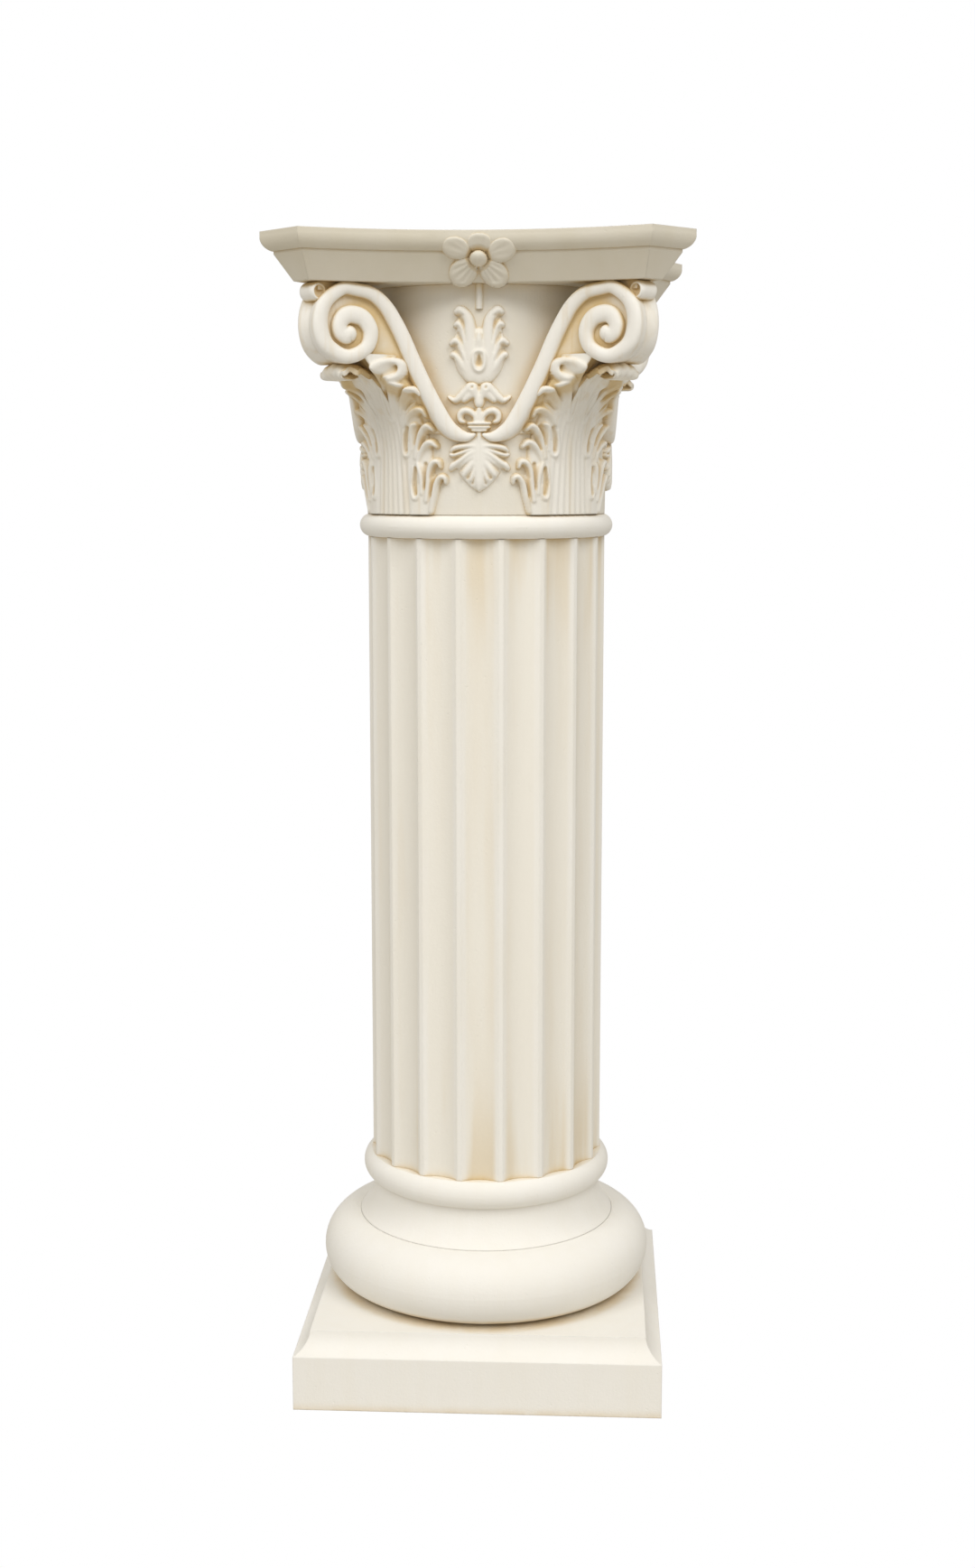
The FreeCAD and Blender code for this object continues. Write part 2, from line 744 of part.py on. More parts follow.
curl_root = s["bell_lip_radius"] - OVERSHOOT / 4
under = s["leaf_curl_thickness"]
curl_foot = leaf_top - rise * 2
curl_under = Part.Arc(
    side_point(s["bell_lip_radius"] + s["leaf_thickness"] / 2, curl_foot),
    side_point((s["bell_lip_radius"] * 1.5 + s["leaf_curl_reach"]) / 2.5, leaf_top - under * 2),
    side_point(s["leaf_curl_reach"], leaf_top - under / 2),
)
curl_over = Part.makeLine(side_point(s["leaf_curl_reach"], leaf_top), side_point(curl_root, leaf_top))
curl_tip = Part.makeLine(
    side_point(s["leaf_curl_reach"], leaf_top - under / 2), side_point(s["leaf_curl_reach"], leaf_top)
)
curl_back = Part.makeLine(side_point(curl_root, leaf_top), side_point(curl_root, curl_foot))
curl_foot_line = Part.makeLine(
    side_point(curl_root, curl_foot),
    side_point(s["bell_lip_radius"] + s["leaf_thickness"] / 2, curl_foot),
)
curl_edges = [curl_under.toShape(), curl_tip, curl_over, curl_back, curl_foot_line]
curl_face = Part.Face(Part.Wire(Part.__sortEdges__(curl_edges)))
curl_face.translate(Vector(-s["leaf_curl_half_width"], 0, 0))
curl = curl_face.extrude(Vector(2 * s["leaf_curl_half_width"], 0, 0))
plan_radius = (s["leaf_curl_reach"] - curl_root) / 2 + s["leaf_curl_half_width"] / 4
plan_centre = Vector(0, -(s["leaf_curl_reach"] - plan_radius), curl_foot)
curl = curl.common(Part.makeCylinder(plan_radius, leaf_top - curl_foot, plan_centre))
leaf = blade.fuse(curl).removeSplitter()
leaf.rotate(Vector(), Vector(0, 0, 1), -EIGHTH_TURN)
leaf_master = casting("leaf", leaf, [bell_ground, volute_master])
place_round(leaf_master, "acanthus", CORNERS)


# corner curl: a leaf tip rolled up in the angle between scroll and abacus, hollow at its two ends
roll_radius = s["curl_height"] / 2
roll_place = Vector(-s["curl_width"] / 2, roll_radius - curl_reach, abacus_z - roll_radius)
roll = Part.makeCylinder(roll_radius, s["curl_width"], roll_place, Vector(1, 0, 0))
for side in (1, -1):
    mouth_place = Vector(roll_place.x * side, roll_place.y, roll_place.z)
    mouth_depth = s["curl_width"] / 3
    roll = roll.cut(Part.makeCylinder(s["curl_socket_radius"], mouth_depth, mouth_place, Vector(side, 0, 0)))
roll.rotate(Vector(), Vector(0, 0, 1), -EIGHTH_TURN)
place_round(casting("roll", roll, [volute_master]), "corner_curl", CORNERS)


# ---- the hanging spray on each side, from the abacus down
spray_front = -(s["bell_lip_radius"] + s["spray_relief"])
spray_back = -s["bell_foot_radius"] / 2
# The foot of an outline is an arc too, almost flat, so that every edge is drawn the same way.
foot_dip = Vector(0, 0, 0.01)

stalk_axis = Vector(0, spray_front + s["stalk_radius"] + 1, abacus_z - s["stalk_length"])
stalk = Part.makeCylinder(s["stalk_radius"], s["stalk_length"], stalk_axis)
place_round(casting("stalk_round", stalk, [bell_ground]), "stalk", SIDES)

# fleuron: a tulip of leaves that part at the top, with a drop-shaped hollow between them
half_fleuron = s["fleuron_width"] / 2
fleuron_top = abacus_z - s["stalk_length"]
fleuron_foot = fleuron_top - s["fleuron_height"]


def fleuron_at(across, up):
    return front_point(half_fleuron * across, fleuron_foot + s["fleuron_height"] * up)


fleuron_valleys = [fleuron_at(0.30, 0.0), fleuron_at(0.75, 0.5), fleuron_at(0.55, 0.78)]
fleuron_valleys = mirrored(fleuron_valleys + [fleuron_at(0.1, 0.8)])
fleuron_tips = [fleuron_at(0.9, 0.22), fleuron_at(1.0, 0.66), fleuron_at(0.5, 1.0)]
fleuron_tips += [fleuron_at(0.0, 0.74)] + [Vector(-p.x, p.y, p.z) for p in reversed(fleuron_tips)]
fleuron_tips.append(fleuron_at(0.0, 0.0) - foot_dip)
drop_edges = [
    Part.makeLine(fleuron_at(0.0, 0.42), fleuron_at(0.09, 0.26)),
    Part.Arc(fleuron_at(0.09, 0.26), fleuron_at(0.0, 0.2), fleuron_at(-0.09, 0.26)).toShape(),
    Part.makeLine(fleuron_at(-0.09, 0.26), fleuron_at(0.0, 0.42)),
]
fleuron_wires = [scalloped(fleuron_valleys, fleuron_tips), Part.Wire(drop_edges)]
fleuron = front_prism(fleuron_wires, spray_front, spray_back)
place_round(casting("fleuron_tulip", fleuron, [bell_ground]), "fleuron", SIDES)

# husk: a double hump with two drilled eyes and a pointed tip to each side
half_husk = s["husk_width"] / 2
husk_foot = fleuron_foot - s["husk_height"]


def husk_at(across, up):
    return front_point(half_husk * across, husk_foot + s["husk_height"] * up)


husk_valleys = mirrored([husk_at(0.12, 0.0), husk_at(1.0, 0.3), husk_at(0.62, 0.45)])
husk_tips = [husk_at(0.5, 0.06), husk_at(0.8, 0.32), husk_at(0.0, 0.99)]
husk_tips += [husk_at(-0.8, 0.32), husk_at(-0.5, 0.06), husk_at(0.0, 0.0) - foot_dip]
eye_wires = []
for side in (1, -1):
    hole = Part.Circle(husk_at(0.26 * side, 0.72), Vector(0, 1, 0), s["husk_height"] / 20)
    eye_wires.append(Part.Wire(hole.toShape()))
husk = front_prism([scalloped(husk_valleys, husk_tips)] + eye_wires, spray_front, spray_back)
place_round(casting("husk_humps", husk, [bell_ground]), "husk", SIDES)

# scroll knot: two small scrolls on a neck that a double band ties, above the meeting of the stems
knot_top = husk_foot
knot_foot = knot_top - s["knot_height"]
scroll_z = knot_top - s["curl_pair_radius"] - 1
band_top = knot_foot + s["binding_height"]
neck_half = s["curl_pair_spread"] - s["curl_pair_radius"] * 0.7
knot_solids = []
for side in (1, -1):
    scroll_middle = front_point(s["curl_pair_spread"] * side, scroll_z)
    wires = []
    for radius in (s["curl_pair_radius"], s["curl_pair_radius"] / 4):
        wires.append(Part.Wire(Part.Circle(scroll_middle, Vector(0, 1, 0), radius).toShape()))
    knot_solids.append(front_prism(wires, spray_front, spray_back))


def front_box(half_width, foot, top, front):
    corners = [(-half_width, foot), (half_width, foot), (half_width, top), (-half_width, top)]
    points = [front_point(x, z) for x, z in corners]
    return front_prism([Part.makePolygon(points + points[:1])], front, spray_back)


knot_solids.append(front_box(neck_half, band_top, knot_top, spray_front))
binding_half = s["binding_width"] / 2
bar_height = s["binding_height"] * 0.42
for foot in (knot_foot, band_top - bar_height):
    knot_solids.append(front_box(binding_half, foot, foot + bar_height, spray_front - 1))
knot_solids.append(front_box(binding_half * 0.85, knot_foot, band_top, spray_front))
knot = knot_solids[0].fuse(knot_solids[1:]).removeSplitter()
volute_right = doc.getObject("volute_front_right")
volute_left = doc.getObject("volute_front_left")
knot_master = casting("knot", knot, [bell_ground, volute_left, volute_right])
place_round(knot_master, "scroll_knot", SIDES)

# drop leaf: seven points spread below the stems, from a neck that passes between their ends
LOBES_EACH_SIDE = 3
LOBE_VALLEY = 0.62
drop_top = knot_foot
drop_root = front_point(0, drop_top - s["drop_leaf_length"] * 0.22)
lobe_turn = math.radians(EIGHTH_TURN * 0.78)
reach_down = s["drop_leaf_length"] * 0.78
reach_side = s["drop_leaf_width"] / 2


def from_root(step, share):
    """A point of the leaf: step counts lobes from the middle one, share runs from root to tip."""
    length = share * (reach_down + (reach_side - reach_down) * abs(step) / LOBES_EACH_SIDE)
    angle = lobe_turn * step - above
    return drop_root + front_point(length * math.cos(angle), length * math.sin(angle))


leaf_points = [from_root(-LOBES_EACH_SIDE - 0.5, LOBE_VALLEY)]
for step in range(-LOBES_EACH_SIDE, LOBES_EACH_SIDE + 1):
    leaf_points.append(from_root(step, 1.0))
    leaf_points.append(from_root(step + 0.5, LOBE_VALLEY))
neck = s["drop_neck_half_width"]
leaf_points += [front_point(neck, drop_root.z), front_point(neck, drop_top)]
leaf_points += [front_point(-neck, drop_top), front_point(-neck, drop_root.z), leaf_points[0]]
drop = front_prism([Part.makePolygon(leaf_points)], spray_front, spray_back)
place_round(casting("drop", drop, [bell_ground, volute_left, volute_right]), "drop_leaf", SIDES)


# ---- every object and solid is checked before anything is written
doc.recompute()
for item in doc.Objects:
    if "Invalid" in item.State or "Error" in item.State:
        raise RuntimeError(f"{item.Label} did not build: {item.State}")
for node in nodes:
    if node.Shape.isNull() or not node.Shape.isValid() or not node.Shape.Solids:
        raise RuntimeError(f"{node.Label} has no sound solid")

os.makedirs("parts", exist_ok=True)
for node in nodes:
    node.Shape.exportStep(f"parts/{node.Label}.step")
    print(f"{node.Label:28s} solids {len(node.Shape.Solids)}  volume {node.Shape.Volume:.0f}")
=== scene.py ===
"""The looks of a fluted pedestal column with a carved capital, cast in off-white plaster.

The turned and moulded castings keep their meshes. The carved ones are modelled here in their places:
low relief is raised on a fine grid by strokes, as a modeller lays on clay, scrolls are swept along
their spirals, and leaf tips are bent sheets. Lengths are in millimetres until a mesh is made.
"""

import math

import bpy
import numpy as np
from mathutils import Matrix, Vector


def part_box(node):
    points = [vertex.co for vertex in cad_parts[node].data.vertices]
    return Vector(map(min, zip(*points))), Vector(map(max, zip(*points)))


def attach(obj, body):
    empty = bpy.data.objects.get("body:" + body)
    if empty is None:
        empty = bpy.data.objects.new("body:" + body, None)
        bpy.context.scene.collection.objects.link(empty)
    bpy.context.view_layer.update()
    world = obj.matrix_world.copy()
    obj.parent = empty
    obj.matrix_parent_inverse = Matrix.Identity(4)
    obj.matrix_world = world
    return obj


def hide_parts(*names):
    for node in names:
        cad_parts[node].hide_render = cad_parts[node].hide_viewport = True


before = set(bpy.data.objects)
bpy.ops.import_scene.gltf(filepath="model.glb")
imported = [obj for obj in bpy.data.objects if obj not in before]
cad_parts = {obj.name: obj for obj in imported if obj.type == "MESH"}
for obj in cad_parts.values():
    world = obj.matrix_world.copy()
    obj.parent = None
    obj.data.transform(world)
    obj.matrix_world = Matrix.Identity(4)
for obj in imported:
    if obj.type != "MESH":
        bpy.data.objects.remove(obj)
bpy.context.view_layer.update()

bl_info = {
    "name": "Carved Pedestal Column",
    "version": (1, 0, 0),
    "blender": (4, 5, 0),
    "location": "3D View > Sidebar > Column",
    "description": "Carvings, plaster finish and studio for a fluted pedestal column",
    "category": "Object",
}

MM = 0.001
SIDES = ("front", "right", "back", "left")
CORNERS = ("front_left", "front_right", "back_right", "back_left")
TURNED = ("plinth", "lower_torus", "scotia_ring", "shaft", "astragal", "bell", "abacus")
QUARTER = math.pi / 2
EIGHTH = math.pi / 4


def node_mm(node):
    """A node's lowest and highest corners in millimetres."""
    low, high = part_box(node)
    return np.array(low) / MM, np.array(high) / MM


BELL_FOOT_Z = node_mm("astragal")[1][2]
BELL_TOP_Z = node_mm("bell")[1][2]
TOP_Z = node_mm("abacus")[1][2]
BELL_LIP = node_mm("bell")[1][0]
BELL_FOOT = BELL_LIP - 3.0


# ---- sizes and colours to change
def length_property(name, description, default, **limits):
    """A length in metres that can be changed in the panel."""
    return bpy.props.FloatProperty(
        name=name, description=description, default=default, unit="LENGTH", **limits
    )


def colour_property(name, description, default):
    """A colour, as sRGB, that can be changed in the panel."""
    return bpy.props.FloatVectorProperty(
        name=name, description=description, default=default, size=3, min=0.0, max=1.0,
        subtype="COLOR_GAMMA",
    )


class ColumnCarving(bpy.types.PropertyGroup):
    """How the carvings are modelled."""

    grain: length_property(
        "Carving Grid", "Spacing of the grid on which low relief is raised", 0.0007, min=0.0003, max=0.003
    )
    sink: length_property(
        "Seat Depth", "How far the edge of a relief goes into what it sits on", 0.0008
    )
    groove_depth: length_property(
        "Scroll Groove Depth", "Depth of the groove between the turns of a volute", 0.0082
    )


class ColumnFinish(bpy.types.PropertyGroup):
    """The plaster, the wash rubbed into it, and the painted shade laid into its colour."""

    plaster: colour_property(
        "Plaster", "Off-white of the rubbed high places, as sRGB", (0.940, 0.930, 0.905)
    )
    wash: colour_property(
        "Wash", "Thin cream left by the wash over broad surfaces, as sRGB", (0.920, 0.898, 0.842)
    )
    # The stain colour serves both the ochre wash gathered in recesses and painted shade there, under
    # projecting parts and on the sunk webs.
    stain_and_shade: colour_property(
        "Stain", "Ochre where the wash has gathered in recesses, as sRGB", (0.840, 0.745, 0.560)
    )
    # This duller tone is painted shade: it darkens the capital's castings, which sit under and in the top
    # plate's shade.
    painted_shade_tone: colour_property(
        "Aged Plaster",
        "Duller cream of the capital, whose wash was left thicker, as sRGB",
        (0.800, 0.765, 0.680),
    )
    # Reach of the occlusion that lays ochre into recesses, partly wash and partly painted shade.
    shade_and_stain_reach: length_property(
        "Recess Reach", "How far from a corner the gathered wash spreads", 0.012
    )
    edge_softness: length_property(
        "Edge Softness", "Radius of the worn edges of the casting", 0.0016
    )


# ---- drawing helpers
def smooth_track(points, steps=6):
    """A Catmull-Rom line through rows of numbers; every column is carried along it."""
    rows = np.array(points, dtype=float)
    if len(rows) < 3:
        return rows
    padded = np.vstack([2 * rows[0] - rows[1], rows, 2 * rows[-1] - rows[-2]])
    track = []
    for i in range(1, len(padded) - 2):
        before, start, end, after = padded[i - 1 : i + 3]
        for share in np.linspace(0, 1, steps, endpoint=False):
            track.append(
                0.5
                * (
                    2 * start
                    + (end - before) * share
                    + (2 * before - 5 * start + 4 * end - after) * share**2
                    + (3 * start - before - 3 * end + after) * share**3
                )
            )
    track.append(rows[-1])
    return np.array(track)


ROUND_TOP = 0.5  # a raised stroke's section is a half ellipse
SOFT_CUT = 0.8  # a cut's section runs out softly at its sides
OUTLINE_HEIGHT = 0.05
LEAST_HEIGHT = 0.25
SMOOTHINGS = 2
RELIEF_BACK = 1.2  # thickness behind a relief on the bell
SMOOTH_ANGLE = math.radians(50)
SCROLL_SMOOTH_ANGLE = math.radians(42)


def stroke_height(across, up, points, power):
    """Height of one stroke over a grid. Its rows are across, up, half width and height."""
    track = smooth_track(points)
    best = np.zeros_like(across)
    for start, end in zip(track[:-1], track[1:]):
        run = end[:2] - start[:2]
        share = ((across - start[0]) * run[0] + (up - start[1]) * run[1]) / max(run @ run, 1e-9)
        share = np.clip(share, 0, 1)
        away = np.hypot(across - start[0] - share * run[0], up - start[1] - share * run[1])
        half = np.maximum(start[2] + (end[2] - start[2]) * share, 0.05)
        high = start[3] + (end[3] - start[3]) * share
        best = np.maximum(best, high * np.clip(1 - (away / half) ** 2, 0, None) ** power)
    return best


def both_hands(strokes):
    """Strokes and their mirror images."""
    flipped = [[(-row[0],) + tuple(row[1:]) for row in stroke] for stroke in strokes]
    return list(strokes) + flipped


def carve(across, up, raised, cut, ground=None):
    """Heights over a grid, and where it is raised: raised strokes, then cut ones taken out of them."""
    height = np.zeros_like(across) if ground is None else ground.copy()
    for stroke in raised:
        height = np.maximum(height, stroke_height(across, up, stroke, ROUND_TOP))
    depth = np.zeros_like(across)
    for stroke in cut:
        depth = np.maximum(depth, stroke_height(across, up, stroke, SOFT_CUT))
    solid = height > OUTLINE_HEIGHT
    height = np.where(solid, np.maximum(height - depth, LEAST_HEIGHT), 0.0)
    for _ in range(SMOOTHINGS):
        spread = height.copy()
        spread[1:-1, 1:-1] = (
            4 * height[1:-1, 1:-1]
            + height[:-2, 1:-1]
            + height[2:, 1:-1]
            + height[1:-1, :-2]
            + height[1:-1, 2:]
        ) / 8
        height = np.where(solid, spread, 0.0)
    return height, solid


def grid(low, high, step):
    """Across and up of each point of a grid between two corners."""
    columns = np.linspace(low[0], high[0], int(round((high[0] - low[0]) / step)) + 1)
    rows = np.linspace(low[1], high[1], int(round((high[1] - low[1]) / step)) + 1)
    return np.meshgrid(columns, rows)


def mesh_object(name, points, faces):
    """A mesh object from points in millimetres."""
    mesh = bpy.data.meshes.new(name)
    mesh.from_pydata([tuple(point) for point in np.asarray(points) * MM], [], faces)
    mesh.validate()
    made = bpy.data.objects.new(name, mesh)
    bpy.context.scene.collection.objects.link(made)
    return made


def sheet_faces(rows, columns, keep=None):
    """Four-sided faces between the rows of a sheet of points, all of them or those to keep."""
    faces = []
    for row in range(rows - 1):
        for column in range(columns - 1):
            if keep is not None and not keep[row, column]:
                continue
            first = row * columns + column
            faces.append((first, first + 1, first + columns + 1, first + columns))
    return faces


def path_sides(rows):
    """Unit vectors to the left of a flat path at each of its points."""
    ahead = np.gradient(rows[:, :2], axis=0)
    ahead /= np.linalg.norm(ahead, axis=1)[:, None]
    return np.stack([-ahead[:, 1], ahead[:, 0]], axis=1)


def relief_object(name, across, up, height, solid, seat, sink):
    """The raised part of a grid of heights, set on a seat; its edge goes in by the sink."""
    touched = solid[:-1, :-1] | solid[1:, :-1] | solid[:-1, 1:] | solid[1:, 1:]
    placed = seat(across, up, np.where(solid, height, -sink))
    points = np.stack([axis.ravel() for axis in placed], axis=1)
    faces = sheet_faces(*across.shape, keep=touched)
    used = sorted({index for face in faces for index in face})
    order = {index: new for new, index in enumerate(used)}
    return mesh_object(name, points[used], [tuple(order[i] for i in face) for face in faces])


def apply_modifier(made, kind, **settings):
    """Adds a modifier and applies it through the operator."""
    bpy.ops.object.select_all(action="DESELECT")
    bpy.context.view_layer.objects.active = made
    made.select_set(True)
    modifier = made.modifiers.new(kind.title(), kind)
    for key, value in settings.items():
        setattr(modifier, key, value)
    bpy.ops.object.modifier_apply(modifier=modifier.name)


def close_back(made, thickness):
    """Gives a relief its back, so that it is closed, inside what it sits on."""
    apply_modifier(made, "SOLIDIFY", thickness=thickness * MM, offset=-1.0)


def tidy(made, merge=0.00002):
    """Merges doubles, turns the faces outwards and shades them smooth but for sharp edges."""
    bpy.ops.object.select_all(action="DESELECT")
    bpy.context.view_layer.objects.active = made
    made.select_set(True)
    bpy.ops.object.mode_set(mode="EDIT")
    bpy.ops.mesh.select_all(action="SELECT")
    bpy.ops.mesh.remove_doubles(threshold=merge)
    bpy.ops.mesh.normals_make_consistent(inside=False)
    bpy.ops.object.mode_set(mode="OBJECT")
    bpy.ops.object.shade_smooth_by_angle(angle=SMOOTH_ANGLE)


def join(pieces, name):
    """The pieces made one object."""
    bpy.ops.object.select_all(action="DESELECT")
    for piece in pieces:
        piece.select_set(True)
    bpy.context.view_layer.objects.active = pieces[0]
    bpy.ops.object.join()
    pieces[0].name = name
    pieces[0].data.name = name
    return pieces[0]


def set_round(master, stem, places, material):
    """Puts the piece and its three turned copies in place of the castings of the same stem."""
    master.data.materials.clear()
    master.data.materials.append(material)
    for index, place in enumerate(places):
        mesh = master.data.copy()
        mesh.transform(Matrix.Rotation(QUARTER * index, 4, "Z"))
        piece = bpy.data.objects.new(f"carved_{stem}_{place}", mesh)
        bpy.context.scene.collection.objects.link(piece)
        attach(piece, "root")
        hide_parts(f"{stem}_{place}")
    bpy.data.objects.remove(master)


# ---- the faces that carvings sit on
def bell_radius(up):
    """Radius of the flaring bell at a height."""
    return BELL_FOOT + (BELL_LIP - BELL_FOOT) * (up - BELL_FOOT_Z) / (BELL_TOP_Z - BELL_FOOT_Z)


def bell_seat(across, up, height):
    """The front of the bell, seen square on."""
    turn = np.arcsin(np.clip(across / bell_radius(up), -1, 1))
    reach = bell_radius(up) + height
    return reach * np.sin(turn), -reach * np.cos(turn), up


def corner_seat(across, up, height):
    """The bell at its front left corner; across runs from the diagonal towards the front."""
    turn = EIGHTH - across / BELL_LIP
    reach = bell_radius(up) + height
    return -reach * np.sin(turn), -reach * np.cos(turn), up


SIDE_MIDDLE = 143.0  # from the axis to the middle of a hollow side
FASCIA_INSET = 22.0
MOULDING_LEAN = 1.1


def moulding_seat(across, up, height):
    """The moulded side of the top plate at the middle of the front, leant back as it is."""
    drop = np.clip((TOP_Z - up) / (TOP_Z - BELL_TOP_Z), 0, 1)
    inset = FASCIA_INSET * drop**MOULDING_LEAN
    return across, -(SIDE_MIDDLE - inset) - height, up


# ---- materials
def linear(colour):
    """sRGB numbers turned to the linear ones that shaders take."""
    parts = [c / 12.92 if c <= 0.04045 else ((c + 0.055) / 1.055) ** 2.4 for c in colour]
    return (*parts, 1.0)


def add_node(tree, kind, inputs=None, **settings):
    """A shader node with its settings, and its inputs set to numbers or linked to sockets."""
    node = tree.nodes.new(f"ShaderNode{kind}")
    for key, value in settings.items():
        setattr(node, key, value)
    for key, value in (inputs or {}).items():
        if isinstance(value, bpy.types.NodeSocket):
            tree.links.new(value, node.inputs[key])
        else:
            node.inputs[key].default_value = value
    return node


def ramp(tree, fac, low, high, floor=0.0, ceiling=1.0):
    """fac stretched so that low gives floor and high gives ceiling."""
    inputs = {"Value": fac, "From Min": low, "From Max": high, "To Min": floor, "To Max": ceiling}
    return add_node(tree, "MapRange", inputs, interpolation_type="SMOOTHSTEP").outputs[0]


def math_node(tree, operation, first, second=0.0):
    return add_node(tree, "Math", {0: first, 1: second}, operation=operation).outputs[0]


def product(tree, first, *others):
    """All the values multiplied."""
    for other in others:
        first = math_node(tree, "MULTIPLY", first, other)
    return first


def distance(tree, first, second):
    """Length of the slope over two sides at right angles."""
    squares = [math_node(tree, "MULTIPLY", side, side) for side in (first, second)]
    return math_node(tree, "SQRT", math_node(tree, "ADD", *squares))


def noise(tree, place, scale, detail, roughness=0.5):
    """A noise; a scale of three numbers draws it out along the axis that has the smallest."""
    if isinstance(scale, tuple):
        place = add_node(tree, "Mapping", {"Vector": place, "Scale": scale}).outputs[0]
        scale = 1.0
    inputs = {"Vector": place, "Scale": scale, "Detail": detail, "Roughness": roughness}
    return add_node(tree, "TexNoise", inputs).outputs[0]


def mix_colour(tree, fac, first, second):
    """The first colour, turned to the second as fac grows."""
    node = add_node(tree, "Mix", data_type="RGBA")
    tree.links.new(fac, node.inputs[0])
    for index, value in ((6, first), (7, second)):
        if isinstance(value, bpy.types.NodeSocket):
            tree.links.new(value, node.inputs[index])
        else:
            node.inputs[index].default_value = value
    return node.outputs[2]


WEB_DEPTH = (0.2605, 0.2645)  # metres from the hollow face's axis between which its ochre, partly wash and partly painted shade, comes in
WEB_BACK = (0.282, 0.272)  # and between which it goes again
WEB_SIDE = (0.115, 0.095)
# Radii between which the flute wash comes in, and heights between which the flutes' ochre grows towards
# the ends, painted shade under the astragal at the top.
FLUTE_SIDE = (0.1042, 0.1012)
SHAFT_TOP = (0.640, 0.752)
SHAFT_FOOT = (0.300, 0.190)


def web_stain_and_shade(tree, place, axes, broken, sunk):
    """Ochre over the sunk web between spiral and stem, partly stain and partly painted shade in that
    recess, and in thin upright lines of stain.
    """
    flat = [math_node(tree, "ABSOLUTE", axis) for axis in axes[:2]]
    cross = math_node(tree, "MINIMUM", *flat)
    ahead = math_node(tree, "SUBTRACT", -FACE_AXIS * MM, math_node(tree, "MAXIMUM", *flat))
    away = distance(tree, ahead, cross)
    web = product(
        tree,
        ramp(tree, away, *WEB_DEPTH),
        ramp(tree, away, *WEB_BACK),
        ramp(tree, cross, *WEB_SIDE),
        ramp(tree, axes[2], *sunk),
        ramp(tree, broken, 0.25, 0.65, 0.6, 0.95),
    )
    lines = ramp(tree, noise(tree, place, (140.0, 140.0, 7.0), 2.0), 0.5, 0.75, 0.0, 0.24)
    return math_node(tree, "ADD", web, lines)


def flute_stain_and_shade(tree, place, axes, in_flute):
    """Ochre runs down the flutes, strongest towards the shaft's ends; towards the top, under the
    astragal, it is painted shade.
    """
    top = ramp(tree, axes[2], *SHAFT_TOP)
    foot = ramp(tree, axes[2], *SHAFT_FOOT)
    run = ramp(tree, noise(tree, place, (34.0, 34.0, 3.2), 3.0), 0.42, 0.66)
    ends = math_node(tree, "MULTIPLY", math_node(tree, "MAXIMUM", top, foot), 0.6)
    return product(tree, run, math_node(tree, "ADD", ends, 0.2), in_flute, 0.6)


